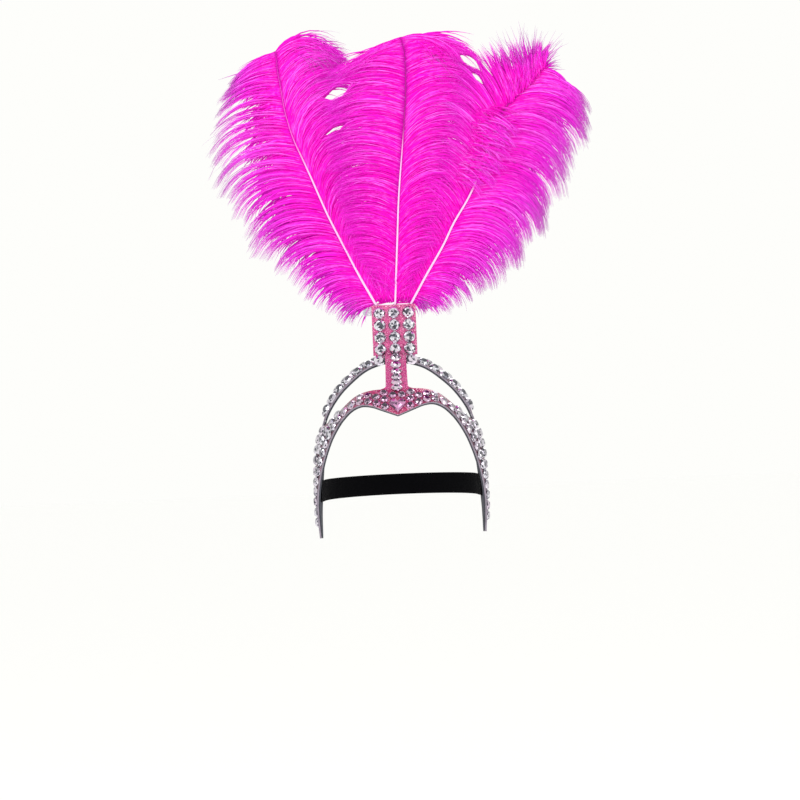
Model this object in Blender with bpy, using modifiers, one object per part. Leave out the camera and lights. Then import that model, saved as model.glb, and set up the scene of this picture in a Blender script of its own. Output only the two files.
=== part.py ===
"""Carnival feather headdress: a foam frame set with rhinestones that carries three ostrich plumes.

Run with: blender --background --python part.py, or from the text editor.
Tables and sizes are in millimetres and are turned into metres as meshes are made. X points to the
viewer's right, -Y to the front, +Z up. The origin is the inside of the crown arch at its top, where
the headdress sits on the head.
"""

import math

import bpy
import bmesh
from mathutils import Matrix, Vector

MM = 0.001
GAP = 0.3

# Foam: a glitter facing glued over a dark lining, both bent to the same surface
FACING_THICK = 1.8
LINING_THICK = 1.4
HEAD_RADIUS = 95.0
HEAD_CENTRE = Vector((0.0, 0.0, -95.0))

# Brow band and side guards, left half: one section a row, from the middle of the brow to the guard's tip
BAND_COLUMNS = ("lower_x", "lower_y", "lower_z", "upper_x", "upper_y", "upper_z")
BAND_SECTIONS = (
    (0.0, -90.0, -57.5, 0.0, -69.0, -31.5),
    (-15.5, -87.5, -51.5, -16.5, -68.0, -31.5),
    (-27.0, -83.5, -47.3, -25.0, -64.5, -32.0),
    (-37.5, -78.5, -46.5, -34.0, -60.0, -34.0),
    (-47.4, -72.0, -50.8, -43.0, -54.0, -38.0),
    (-55.8, -65.0, -58.5, -52.5, -46.5, -45.5),
    (-62.3, -57.0, -66.8, -61.5, -37.5, -54.0),
    (-70.0, -46.5, -80.0, -71.0, -26.0, -62.0),
    (-76.0, -37.0, -94.5, -79.0, -13.4, -67.6),
    (-80.2, -29.5, -107.0, -79.4, 0.0, -67.6),
    (-83.4, -23.5, -119.0, -79.0, 13.4, -67.6),
    (-86.2, -18.0, -134.0, -81.0, 15.0, -96.0),
    (-87.6, -13.5, -150.0, -84.0, 13.5, -126.0),
    (-87.4, -9.0, -168.0, -86.2, 9.0, -157.0),
    (-86.7, -4.8, -181.0, -86.6, 4.8, -181.0),
    (-86.6, -2.0, -184.5, -86.6, 2.0, -184.5),
)
UPPER_CORNERS = (8, 10)
BAND_STEPS_FIRST = 3
BAND_STEPS_EACH = 1
BAND_STEPS_ACROSS = 3

# Stem, from the brow up to the foot of the plume plate, in the middle plane
STEM_COLUMNS = ("y", "z", "half_width")
STEM_SECTIONS = (
    (-69.0, -31.5, 16.5),
    (-66.9, -30.4, 13.2),
    (-63.6, -28.8, 11.6),
    (-59.0, -26.5, 11.4),
    (-48.2, -20.8, 11.3),
    (-37.2, -14.8, 11.2),
    (-27.5, -7.2, 11.1),
    (-18.6, -0.2, 11.0),
    (-12.7, 4.8, 11.0),
)

# Crown arch, right half of its centre line in the XZ plane, and how far its face leans forward there
ARCH_COLUMNS = ("x", "z", "lean")
ARCH_SECTIONS = (
    (0.0, 1.7, 11.0),
    (10.5, 0.8, 11.0),
    (21.2, -1.9, 11.0),
    (30.8, -5.6, 11.0),
    (40.4, -11.6, 11.0),
    (52.2, -21.4, 11.0),
    (60.8, -30.2, 10.0),
    (68.0, -40.2, 8.0),
    (73.6, -50.4, 5.0),
    (77.2, -60.0, 2.0),
    (78.9, -66.4, 0.0),
)
ARCH_WIDTH = 26.0
ARCH_STEPS_ACROSS = 2
ARCH_FRONT_FROM_X = 27.5

# Field stones are fused to the facing, the others are separate
STONE_SIDES = 8
STONE_TABLE = 0.56
STONE_SINK = 0.8
STONE_SPACE = 0.7
STONE_ROWS_MOST = 8
SEAT_STEPS = 40
BROW_STONE = 4.2
GUARD_STONE = 5.5
GUARD_STONE_FROM_X = -44.0
ARCH_STONE = 5.4
CORNER_STONE = 5.3
CORNER_STONE_X = 17.0
CORNER_STONE_PLACE = 1.6
CORNER_STONE_LEAN = 40.0
FIELD_STONE_RISE = 0.55
BAND_MARGIN = 0.4

LOOSE_SIDES = 8
GIRDLE = 1.0
CROWN = 2.6
PLATE_STONE = 6.2
STEM_STONE = 5.7
STEM_STONES = 6
STEM_STONE_PITCH = 12.2
STEM_STONE_START = 0.6
STEM_BEND_CLEAR = 1.15
HEART_LIFT = 0.36
HEART_HALF_WIDTH = 8.0
HEART_LENGTH = 17.0
HEART_POINTS = 14
HEART_WAVE_COLUMNS = ("turns", "across", "up")
HEART_WAVES = (
    (1, 0.91, 0.80),
    (2, 0.0, -0.22),
    (3, -0.09, -0.10),
)

# Plume plate and the slab behind it
PLATE_WIDTH = 46.6
PLATE_BOTTOM = 5.8
PLATE_TOP = 59.0
PLATE_THICK = 1.8
PLATE_FRONT = -10.6
PLATE_ROWS = (50.8, 37.8, 24.9, 12.4)
PLATE_COLUMNS = (-15.3, 0.0, 15.3)
SLAB_WIDTH = 42.0
SLAB_DEPTH = 8.0
SLAB_TOP = 60.2
SLAB_BOTTOM = -12.0
ARCH_UNDER_SLAB_PLACES = 4
ARCH_UNDER_SLAB_DEPTH = 30.0
GROOVE_CLEAR = 0.35
GROOVE_PAST_TOP = 12.0
TAB_SIZE = (34.0, 0.9, 10.0)
TAB_LEFT = -33.0
TAB_TOP = 58.6

# Plume quills: x, z in the plane of the picture, y for the lean, radius of the shaft
QUILL_COLUMNS = ("x", "y", "z", "radius")
QUILL_LEFT = (
    (-9.3, -6.2, 41.0, 1.9),
    (-18.7, -5.8, 60.6, 1.9),
    (-33.9, -3.2, 90.0, 1.8),
    (-48.9, -0.4, 122.0, 1.7),
    (-64.9, 3.0, 156.6, 1.6),
    (-80.7, 7.0, 196.6, 1.4),
    (-89.3, 9.6, 218.1, 1.3),
    (-97.0, 11.4, 236.5, 1.1),
    (-101.9, 12.4, 251.6, 1.0),
    (-106.9, 13.2, 273.0, 0.9),
    (-109.7, 12.8, 294.4, 0.8),
    (-112.2, 11.2, 312.5, 0.6),
    (-113.7, 9.2, 326.4, 0.5),
)
QUILL_CENTRE = (
    (0.6, -6.2, 41.0, 1.9),
    (2.2, -6.2, 61.4, 1.9),
    (4.8, -6.4, 96.0, 1.8),
    (7.5, -6.7, 131.2, 1.7),
    (10.9, -6.8, 174.5, 1.5),
    (16.8, -6.4, 225.2, 1.2),
    (20.6, -6.0, 260.0, 1.0),
    (23.0, -5.8, 286.5, 0.9),
    (23.5, -7.2, 322.5, 0.6),
    (20.9, -8.4, 335.4, 0.5),
)
QUILL_RIGHT = (
    (8.6, -6.2, 41.0, 1.9),
    (19.5, -6.8, 60.6, 1.9),
    (36.7, -10.2, 89.6, 1.8),
    (54.9, -13.4, 118.5, 1.7),
    (67.6, -15.8, 142.3, 1.6),
    (82.4, -18.2, 165.0, 1.5),
    (91.7, -19.8, 182.7, 1.4),
    (101.0, -21.6, 205.0, 1.2),
    (110.0, -23.4, 228.0, 1.1),
    (120.0, -25.0, 250.0, 1.0),
    (133.0, -26.0, 266.0, 0.8),
    (151.0, -26.6, 282.0, 0.6),
    (168.0, -26.8, 300.0, 0.5),
)
QUILL_POINTS = 12

# Vanes: how far along the quill, the barbs' length, and the headings that they leave and arrive at,
# in degrees in the XZ plane, 0 to the right and 90 up
VANE_COLUMNS = ("along", "reach", "leave", "arrive")
LEFT_OUTER = (
    (0.02, 56.0, 165.0, 234.0),
    (0.12, 76.0, 161.0, 236.0),
    (0.25, 84.0, 161.0, 236.0),
    (0.38, 98.0, 163.0, 238.0),
    (0.50, 106.0, 165.0, 240.0),
    (0.62, 104.0, 168.0, 236.0),
    (0.75, 88.0, 172.0, 224.0),
    (0.86, 68.0, 178.0, 214.0),
    (0.97, 44.0, 188.0, 212.0),
)
LEFT_INNER = (
    (0.02, 20.0, 100.0, 60.0),
    (0.12, 38.0, 98.0, 10.0),
    (0.30, 68.0, 94.0, -35.0),
    (0.50, 88.0, 88.0, -30.0),
    (0.75, 92.0, 80.0, -24.0),
    (0.90, 80.0, 76.0, -44.0),
    (1.00, 64.0, 72.0, -60.0),
)
CENTRE_OUTER = (
    (0.02, 18.0, 130.0, 170.0),
    (0.20, 36.0, 142.0, 215.0),
    (0.40, 58.0, 150.0, 222.0),
    (0.60, 74.0, 155.0, 218.0),
    (0.85, 68.0, 160.0, 210.0),
    (0.98, 52.0, 165.0, 212.0),
)
CENTRE_INNER = (
    (0.02, 18.0, 56.0, 10.0),
    (0.20, 36.0, 54.0, -40.0),
    (0.40, 66.0, 52.0, -46.0),
    (0.60, 88.0, 50.0, -44.0),
    (0.85, 90.0, 42.0, -44.0),
    (1.00, 80.0, 34.0, -48.0),
)
RIGHT_OUTER = (
    (0.02, 36.0, 12.0, -72.0),
    (0.12, 70.0, 16.0, -84.0),
    (0.25, 90.0, 18.0, -88.0),
    (0.40, 100.0, 18.0, -88.0),
    (0.55, 104.0, 19.0, -85.0),
    (0.70, 106.0, 18.0, -84.0),
    (0.82, 92.0, 16.0, -82.0),
    (0.93, 68.0, 12.0, -76.0),
    (1.00, 30.0, 20.0, -50.0),
)
RIGHT_INNER = (
    (0.02, 20.0, 100.0, 150.0),
    (0.25, 50.0, 108.0, 190.0),
    (0.50, 68.0, 108.0, 172.0),
    (0.70, 74.0, 110.0, 146.0),
    (0.80, 74.0, 106.0, 116.0),
    (0.90, 56.0, 98.0, 88.0),
    (1.00, 30.0, 75.0, 55.0),
)
BARB_BEND = 1.3

# Locks of barbs: half-width as a share of their spacing and half-thickness, at equal steps to the tip
LOCK_COLUMNS = ("half_width", "half_thick")
LOCK_SHAPE = (
    (0.30, 1.7),
    (0.66, 1.5),
    (0.62, 1.0),
    (0.04, 0.5),
)
LOCKS_EACH_SIDE = 9
LOCK_START = 0.06
LOCK_LEAD = 0.25
LOCK_LAST = 0.995
LOCK_STAGGER = 0.4
LOCK_SIDE_SHIFT = 0.15
LOCK_SLIMMEST = 0.6
LOCK_FULL_ALONG = 0.16

# Leaf just behind the quill that the locks are joined to, its half-width where it is full
SPINE_HALF_WIDTH = 8.0
SPINE_HALF_THICK = 2.2
SPINE_SLIMMEST = 0.35
SPINE_POINTS = 8
SPINE_START = 0.03
SPINE_ROUND_ENDS = (0.12, 0.97)

# Elastic strap behind the head
STRAP_HEIGHT = 22.5
STRAP_THICK = 1.4
STRAP_INSET = 0.9
STRAP_Z = -134.5
STRAP_BACK_Y = 102.0
STRAP_ON_GUARD_Y = (-9.0, -1.0, 7.0, 13.0)
STRAP_STEPS = 12
GUARD_ROWS = (9, 14)
GUARD_SAMPLES = (120, 24)


def column(table, names, name):
    """One named column of a table."""
    index = names.index(name)
    return [row[index] for row in table]


def points_of(table, names, *axes):
    """The rows of a table as vectors, from three named columns."""
    return [Vector(values) for values in zip(*(column(table, names, axis) for axis in axes))]


def smooth_at(points, place):
    """A point on the smooth curve through the points, with place counted in points."""
    last = len(points) - 1
    start = min(max(int(place), 0), last - 1)
    share = min(max(place - start, 0.0), 1.0)
    here, there = points[start], points[start + 1]
    before = points[start - 1] if start > 0 else here * 2 - there
    after = points[start + 2] if start + 2 <= last else there * 2 - here
    return 0.5 * (
        2 * here
        + (there - before) * share
        + (2 * before - 5 * here + 4 * there - after) * share ** 2
        + (3 * here - before - 3 * there + after) * share ** 3
    )


def smooth_with_corners(points, corners, place):
    """As smooth_at, but the curve may turn sharply at the corners and runs straight between them."""
    stops = [0, *corners, len(points) - 1]
    for number, (start, end) in enumerate(zip(stops, stops[1:])):
        if place <= end:
            break
    if 0 < number < len(stops) - 2:
        part = min(int(place), end - 1)
        return points[part].lerp(points[part + 1], place - part)
    return smooth_at(points[start:end + 1], place - start)


def interpolate(table, names, along, name):
    """A straight-line reading of one named column at a place along a quill."""
    keys = column(table, names, "along")
    values = column(table, names, name)
    if along <= keys[0]:
        return values[0]
    for low, high, start, end in zip(keys, keys[1:], values, values[1:]):
        if along <= high:
            return start + (end - start) * (along - low) / (high - low)
    return values[-1]


# Materials

def material(name, colour, roughness, metallic=0.0, transmission=0.0):
    made = bpy.data.materials.new(name)
    made.use_nodes = True
    shader = made.node_tree.nodes["Principled BSDF"]
    shader.inputs["Base Color"].default_value = (*colour, 1.0)
    shader.inputs["Roughness"].default_value = roughness
    shader.inputs["Metallic"].default_value = metallic
    shader.inputs["Transmission Weight"].default_value = transmission
    made.diffuse_color = (*colour, 1.0)
    return made


# Objects

def new_collection(name):
    made = bpy.data.collections.new(name)
    bpy.context.scene.collection.children.link(made)
    return made


def mesh_object(name, mesh, collection, finish=None):
    """An object whose mesh was made in millimetres."""
    mesh.transform(Matrix.Scale(MM, 4))
    made = bpy.data.objects.new(name, mesh)
    collection.objects.link(made)
    if finish:
        mesh.materials.append(finish)
    return made


def hide_cutter(cutter):
    cutter.hide_render = True
    cutter.display_type = "WIRE"
    return cutter


def sheet_mesh(name, grids):
    """An open surface from grids of points, welded where they share points."""
    mesh = bmesh.new()
    for grid in grids:
        rows = [[mesh.verts.new(point) for point in row] for row in grid]
        for row, following in zip(rows, rows[1:]):
            for a, b, c, d in zip(row, row[1:], following[1:], following):
                mesh.faces.new((a, b, c, d))
    bmesh.ops.remove_doubles(mesh, verts=mesh.verts, dist=0.01)
    bmesh.ops.recalc_face_normals(mesh, faces=mesh.faces)
    mesh.normal_update()
    outward = sum(
        face.calc_area() * face.normal.dot(face.calc_center_median() - HEAD_CENTRE)
        for face in mesh.faces
    )
    if outward < 0:
        bmesh.ops.reverse_faces(mesh, faces=mesh.faces)
    data = bpy.data.meshes.new(name)
    mesh.to_mesh(data)
    mesh.free()
    return data


def loft_mesh(name, rings):
    """A closed body through rings of equal counts, capped at both ends."""
    mesh = bmesh.new()
    loops = [[mesh.verts.new(point) for point in ring] for ring in rings]
    for loop, following in zip(loops, loops[1:]):
        for index in range(len(loop)):
            after = (index + 1) % len(loop)
            mesh.faces.new((loop[index], loop[after], following[after], following[index]))
    mesh.faces.new(loops[0])
    mesh.faces.new(loops[-1])
    bmesh.ops.recalc_face_normals(mesh, faces=mesh.faces)
    data = bpy.data.meshes.new(name)
    mesh.to_mesh(data)
    mesh.free()
    return data


def box_object(name, low, high, collection, finish=None):
    size = [upper - lower for lower, upper in zip(low, high)]
    middle = [(lower + upper) / 2 for lower, upper in zip(low, high)]
    mesh = bmesh.new()
    place = Matrix.Translation(middle) @ Matrix.Diagonal((*size, 1.0))
    bmesh.ops.create_cube(mesh, size=1.0, matrix=place)
    data = bpy.data.meshes.new(name)
    mesh.to_mesh(data)
    mesh.free()
    return mesh_object(name, data, collection, finish)


def add_solidify(piece, thickness, offset):
    wall = piece.modifiers.new("Wall", "SOLIDIFY")
    wall.thickness = thickness * MM
    wall.offset = offset
    wall.use_even_offset = True
    return wall


def add_mirror(piece):
    mirror = piece.modifiers.new("Both sides", "MIRROR")
    mirror.use_axis = (True, False, False)
    mirror.use_clip = True
    mirror.merge_threshold = 0.00002
    return mirror


def add_boolean(piece, operation, cutter=None, group=None):
    cut = piece.modifiers.new(operation.title(), "BOOLEAN")
    cut.operation = operation
    cut.solver = "EXACT"
    if group:
        cut.operand_type = "COLLECTION"
        cut.collection = group
    else:
        cut.object = cutter
    return cut


# The band's surface

def band_edges(place):
    lower = points_of(BAND_SECTIONS, BAND_COLUMNS, "lower_x", "lower_y", "lower_z")
    upper = points_of(BAND_SECTIONS, BAND_COLUMNS, "upper_x", "upper_y", "upper_z")
    return smooth_at(lower, place), smooth_with_corners(upper, UPPER_CORNERS, place)


def band_base(place, across):
    """A point of the band's bent surface, across from 0 at its lower edge to 1 at its upper edge."""
    lower, upper = band_edges(place)
    chord = upper - lower
    outward = (lower + upper) / 2 - HEAD_CENTRE
    outward -= outward.project(chord)
    crown = 4 * across * (1 - across) * chord.length_squared / (8 * HEAD_RADIUS)
    point = lower + chord * across + outward.normalized() * crown
    if place == 0:
        point.x = 0.0
    return point


def band_normal(place, across):
    step = 0.02
    along = band_base(min(place + step, len(BAND_SECTIONS) - 1), across)
    along -= band_base(max(place - step, 0.0), across)
    over = band_base(place, min(across + step, 1.0)) - band_base(place, max(across - step, 0.0))
    normal = along.cross(over).normalized()
    if normal.dot(band_base(place, across) - HEAD_CENTRE) < 0:
        normal.negate()
    if place == 0:
        normal.x = 0.0
        normal.normalize()
    return normal


def band_point(place, across, lift):
    return band_base(place, across) + band_normal(place, across) * lift


def band_places():
    """The sections that the sheet is cut into, counted in rows of the table."""
    first = [index / BAND_STEPS_FIRST for index in range(BAND_STEPS_FIRST)]
    rest = [
        1 + index / BAND_STEPS_EACH
        for index in range((len(BAND_SECTIONS) - 2) * BAND_STEPS_EACH + 1)
    ]
    return first + rest


def stem_base(place):
    path = points_of(STEM_SECTIONS, STEM_COLUMNS, "y", "z", "half_width")
    found = smooth_at(path, place)
    return Vector((0.0, found.x, found.y)), found.z


def stem_normal(place):
    step = 0.05
    last = len(STEM_SECTIONS) - 1
    ahead = stem_base(min(place + step, last))[0]
    behind = stem_base(max(place - step, 0.0))[0]
    direction = (ahead - behind).normalized()
    return Vector((0.0, -direction.z, direction.y))


def stem_point_at(length):
    """The middle of the stem and its normal at a length along it from the brow."""
    steps = 400
    last = len(STEM_SECTIONS) - 1
    before = stem_base(0.0)[0]
    walked = 0.0
    for index in range(1, steps + 1):
        place = last * index / steps
        point = stem_base(place)[0]
        walked += (point - before).length
        if walked >= length:
            return point, stem_normal(place)
        before = point
    return before, stem_normal(last)


def stem_seat(length, radius):
    """A seat for a flat-backed stone on the stem, high enough to clear the bend under its rim."""
    middle = stem_point_at(length)[0]
    behind = stem_point_at(max(length - radius, 0.0))[0]
    ahead = stem_point_at(length + radius)[0]
    chord = (ahead - behind).normalized()
    normal = Vector((0.0, -chord.z, chord.y))
    rise = max((point - middle).dot(normal) for point in (behind, middle, ahead))
    return middle + normal * (FACING_THICK + rise * STEM_BEND_CLEAR), normal


def frame_half_grids(lift):
    """The left half of the brow band with its guard, and of the stem, at a lift off the bent surface."""
    places = band_places()
    band = [
        [band_point(place, step / BAND_STEPS_ACROSS, lift) for step in range(BAND_STEPS_ACROSS + 1)]
        for place in places
    ]
    stem_foot = [band[index][-1] for index in range(BAND_STEPS_FIRST + 1)]
    stem = [stem_foot]
    for place in range(1, len(STEM_SECTIONS)):
        middle, half_width = stem_base(place)
        normal = stem_normal(place)
        drop = (stem_foot[-1] - stem_foot[0]) / place ** 2
        stem.append([
            middle + normal * lift
            + Vector((-half_width * index / BAND_STEPS_FIRST, 0.0, 0.0))
            + Vector((0.0, drop.y, drop.z)) * (index / BAND_STEPS_FIRST)
            for index in range(BAND_STEPS_FIRST + 1)
        ])
    return [band, stem]


def frame_sheet(name, lift, thickness, offset, collection, finish):
    """The brow band, both guards and the stem as one sheet of foam."""
    piece = mesh_object(name, sheet_mesh(name, frame_half_grids(lift)), collection, finish)
    add_mirror(piece)
    add_solidify(piece, thickness, offset)
    return piece


# Field stones

def heart_seat():
    return band_base(0.0, HEART_LIFT), band_normal(0.0, HEART_LIFT)


def band_stone_seats():
    """Rows of stones that follow the lower edge of the band, as far as they fit, on its left half."""
    seats = []
    heart_at = heart_seat()[0]
    foot_of_stem = stem_point_at(STEM_STONE_START)[0]
    last = len(BAND_SECTIONS) - 1
    for row in range(STONE_ROWS_MOST):
        for index in range(last * SEAT_STEPS + 1):
            place = index / SEAT_STEPS
            lower, upper = band_edges(place)
            width = (upper - lower).length
            radius = BROW_STONE if lower.x > GUARD_STONE_FROM_X else GUARD_STONE
            edge = radius + BAND_MARGIN
            up = edge + row * (2 * radius + STONE_SPACE)
            if up > width - edge:
                continue
            point = band_base(place, up / width)
            if point.x > -(radius + STONE_SPACE / 2):
                continue
            if (point - heart_at).length < radius + HEART_HALF_WIDTH + STONE_SPACE:
                continue
            if (point - foot_of_stem).length < radius + STEM_STONE + STONE_SPACE:
                continue
            taken = any(
                (point - other).length < radius + size + STONE_SPACE for other, _, size in seats
            )
            if not taken:
                seats.append((point, band_normal(place, up / width), radius))
    return seats


def arch_centre(place):
    """The arch's centre line and its lean, from -10 at the left end over 0 at the top to 10."""
    path = points_of(ARCH_SECTIONS, ARCH_COLUMNS, "x", "z", "lean")
    mirrored = [Vector((-point.x, point.y, point.z)) for point in reversed(path[1:])]
    found = smooth_at(mirrored + path, place + len(path) - 1)
    return Vector((found.x, 0.0, found.y)), math.radians(found.z)


def arch_point(place, across, lift):
    """A point of the arch, across from -1 at its front edge to 1 at its rear edge."""
    last = len(ARCH_SECTIONS) - 1
    middle, lean = arch_centre(place)
    step = 0.05
    direction = arch_centre(min(place + step, last))[0] - arch_centre(max(place - step, -last))[0]
    outward = Vector((-direction.z, 0.0, direction.x)).normalized()
    back = Vector((0.0, math.cos(lean), 0.0)) + outward * math.sin(lean)
    up = outward * math.cos(lean) - Vector((0.0, math.sin(lean), 0.0))
    return middle + back * (across * ARCH_WIDTH / 2) + up * lift, up


def arch_grid(lift):
    last = len(ARCH_SECTIONS) - 1
    places = range(-last, last + 1)
    across = [2 * step / ARCH_STEPS_ACROSS - 1 for step in range(ARCH_STEPS_ACROSS + 1)]
    return [[arch_point(place, step, lift)[0] for step in across] for place in places]


def arch_stone_seats():
    """Two rows along the right half of the arch, the front one clear of the stem and the slab."""
    seats = []
    last = len(ARCH_SECTIONS) - 1
    row_at = (ARCH_STONE + STONE_SPACE / 2) / (ARCH_WIDTH / 2)
    rear_from_x = ARCH_STONE + STONE_SPACE / 2
    for across, from_x in ((-row_at, ARCH_FRONT_FROM_X), (row_at, rear_from_x)):
        before = None
        for index in range(last * SEAT_STEPS + 1):
            place = index / SEAT_STEPS
            point, normal = arch_point(place, across, 0.0)
            end = arch_point(last, across, 0.0)[0]
            if point.x < from_x or (point - end).length < ARCH_STONE + STONE_SPACE / 2:
                continue
            if before is None or (point - before).length >= 2 * ARCH_STONE + STONE_SPACE:
                seats.append((point, normal, ARCH_STONE))
                before = point
    corner, _ = arch_point(CORNER_STONE_PLACE, -1.0, FACING_THICK)
    lean = math.radians(CORNER_STONE_LEAN)
    facing = Vector((0.0, -math.cos(lean), math.sin(lean)))
    corner.x = CORNER_STONE_X
    seats.append((corner - facing * FACING_THICK, facing, CORNER_STONE))
    return seats


def both_sides(seats):
    """The seats of one half and their mirror images."""
    flip = Matrix.Diagonal((-1.0, 1.0, 1.0))
    return seats + [(flip @ point, flip @ normal, radius) for point, normal, radius in seats]


def stone_field(name, seats, collection):
    """Cut stones as one mesh, each sunk a little into the facing that it is fused to."""
    mesh = bmesh.new()
    for point, normal, radius in seats:
        rise = radius * FIELD_STONE_RISE
        depth = rise + STONE_SINK
        middle = point + normal * (FACING_THICK - STONE_SINK + depth / 2)
        turn = normal.to_track_quat("Z", "Y").to_matrix().to_4x4()
        bmesh.ops.create_cone(
            mesh,
            cap_ends=True,
            segments=STONE_SIDES,
            radius1=radius,
            radius2=radius * STONE_TABLE,
            depth=depth,
            matrix=Matrix.Translation(middle) @ turn,
        )
    data = bpy.data.meshes.new(name)
    mesh.to_mesh(data)
    mesh.free()
    return hide_cutter(mesh_object(name, data, collection))


# Separate stones

def round_stone(name, radius, point, normal, collection, finish):
    """A turned stone with a table, crown facets and a girdle, its flat back a gap above its seat."""
    table = radius * STONE_TABLE
    top = GIRDLE + CROWN
    profile = ((0, top), (table, top), (radius, GIRDLE), (radius, 0), (0, 0))
    mesh = bmesh.new()
    line = [mesh.verts.new((x, 0, z)) for x, z in profile]
    for start, end in zip(line, line[1:]):
        mesh.edges.new((start, end))
    data = bpy.data.meshes.new(name)
    mesh.to_mesh(data)
    mesh.free()
    stone = mesh_object(name, data, collection, finish)
    turn = stone.modifiers.new("Turned", "SCREW")
    turn.steps = LOOSE_SIDES
    turn.render_steps = LOOSE_SIDES
    turn.use_merge_vertices = True
    turn.merge_threshold = 0.00001
    seat = point + normal * GAP
    turned = normal.to_track_quat("Z", "Y").to_matrix().to_4x4()
    stone.matrix_world = Matrix.Translation(seat * MM) @ turned
    return stone


def heart_outline():
    """A plump heart, round at the top with a shallow notch, drawn down to a point."""
    points = []
    for index in range(HEART_POINTS):
        angle = 2 * math.pi * index / HEART_POINTS
        side = sum(across * math.sin(turns * angle) for turns, across, _ in HEART_WAVES)
        height = sum(up * math.cos(turns * angle) for turns, _, up in HEART_WAVES)
        points.append(Vector((side * HEART_HALF_WIDTH, height * HEART_LENGTH / 2, 0.0)))
    return points


def heart_stone(collection, finish):
    outline = heart_outline()
    rings = [
        outline,
        [point + Vector((0, 0, GIRDLE)) for point in outline],
        [point * STONE_TABLE + Vector((0, 0, GIRDLE + CROWN)) for point in outline],
    ]
    stone = mesh_object("heart_stone", loft_mesh("heart_stone", rings), collection, finish)
    point, normal = heart_seat()
    upward = Vector((0, 0, 1)) - normal * normal.z
    upward.normalize()
    across = upward.cross(normal)
    turn = Matrix((across, upward, normal)).transposed().to_4x4()
    seat = point + normal * (FACING_THICK + GAP)
    stone.matrix_world = Matrix.Translation(seat * MM) @ turn
    return stone


# Plumes

def quill_path(table):
    return points_of(table, QUILL_COLUMNS, "x", "y", "z")


def quill_at(table, along):
    """A point of the quill and its direction, along from 0 at the plate's top edge to 1 at the tip."""
    path = quill_path(table)
    place = 1 + along * (len(path) - 2)
    step = 0.05
    ahead = smooth_at(path, min(place + step, len(path) - 1))
    behind = smooth_at(path, max(place - step, 0))
    return smooth_at(path, place), (ahead - behind).normalized()


def barb_path(table, vane, along, steps):
    """The curve that a barb or a lock of barbs follows from the quill."""
    point, _ = quill_at(table, along)
    reach, leave, arrive = (
        interpolate(vane, VANE_COLUMNS, along, name) for name in ("reach", "leave", "arrive")
    )
    path = [point.copy()]
    fine = 8
    for index in range(steps * fine):
        share = (index + 0.5) / (steps * fine)
        heading = math.radians(leave + (arrive - leave) * share ** BARB_BEND)
        point = point + Vector((math.cos(heading), 0, math.sin(heading))) * (reach / steps / fine)
        if (index + 1) % fine == 0:
            path.append(point.copy())
    return path


def diamond_ring(point, direction, half_width, half_thick):
    """Four corners round a path: two in the picture's plane, one in front and one behind."""
    side = Vector((-direction.z, 0, direction.x)).normalized()
    front = Vector((0, -1, 0))
    return [
        point + side * half_width,
        point + front * half_thick,
        point - side * half_width,
        point - front * half_thick,
    ]


def path_directions(path):
    ends = [path[0] * 2 - path[1], *path, path[-1] * 2 - path[-2]]
    return [(after - before).normalized() for before, after in zip(ends, ends[2:])]


def plume_spine(name, table, behind, collection, finish):
    """The full part of the vane next to the quill, as a slim leaf just behind it."""
    rings = []
    early, late = SPINE_ROUND_ENDS
    for index in range(SPINE_POINTS):
        along = SPINE_START + (1 - SPINE_START) * index / (SPINE_POINTS - 1)
        point, direction = quill_at(table, along)
        fullness = math.sin(math.pi * min(along + early, late)) ** 0.5
        swell = SPINE_SLIMMEST + (1 - SPINE_SLIMMEST) * fullness
        rings.append(diamond_ring(
            point + behind, direction, SPINE_HALF_WIDTH * swell, SPINE_HALF_THICK * swell
        ))
    return mesh_object(name, loft_mesh(name, rings), collection, finish)


def quill_length(table, steps=40):
    points = [quill_at(table, index / steps)[0] for index in range(steps + 1)]
    return sum((after - before).length for before, after in zip(points, points[1:]))


def plume_locks(name, table, vanes, behind, group):
    """Tapered locks of barbs on both sides of the quill, each a closed body."""
    spacing = quill_length(table) / LOCKS_EACH_SIDE
    for side, vane in enumerate(vanes):
        for number in range(LOCKS_EACH_SIDE):
            share = (number + LOCK_LEAD * side) / (LOCKS_EACH_SIDE - 1 + LOCK_LEAD)
            along = min(LOCK_START + (1 - LOCK_START) * share, LOCK_LAST)
            slim = LOCK_SLIMMEST + (1 - LOCK_SLIMMEST) * min(along / LOCK_FULL_ALONG, 1.0)
            path = barb_path(table, vane, along, len(LOCK_SHAPE) - 1)
            shift = behind + Vector((0, LOCK_STAGGER * (number % 3 - 1) + LOCK_SIDE_SHIFT * side, 0))
            rings = [
                diamond_ring(point + shift, direction, slim * spacing * half_width, half_thick)
                for point, direction, (half_width, half_thick)
                in zip(path, path_directions(path), LOCK_SHAPE)
            ]
            lock_name = f"{name}_lock_{side}_{number}"
            hide_cutter(mesh_object(lock_name, loft_mesh(lock_name, rings), group))


def plume(name, table, vanes, part, finish):
    """A plume's outer form: a leaf behind the quill with its locks joined to it."""
    group = new_collection(f"{name}_locks")
    thickest = max(column(table, QUILL_COLUMNS, "radius"))
    behind = Vector((0, thickest + GAP + SPINE_HALF_THICK, 0))
    piece = plume_spine(name, table, behind, part, finish)
    plume_locks(name, table, vanes, behind, group)
    add_boolean(piece, "UNION", group=group)
    return piece


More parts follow.
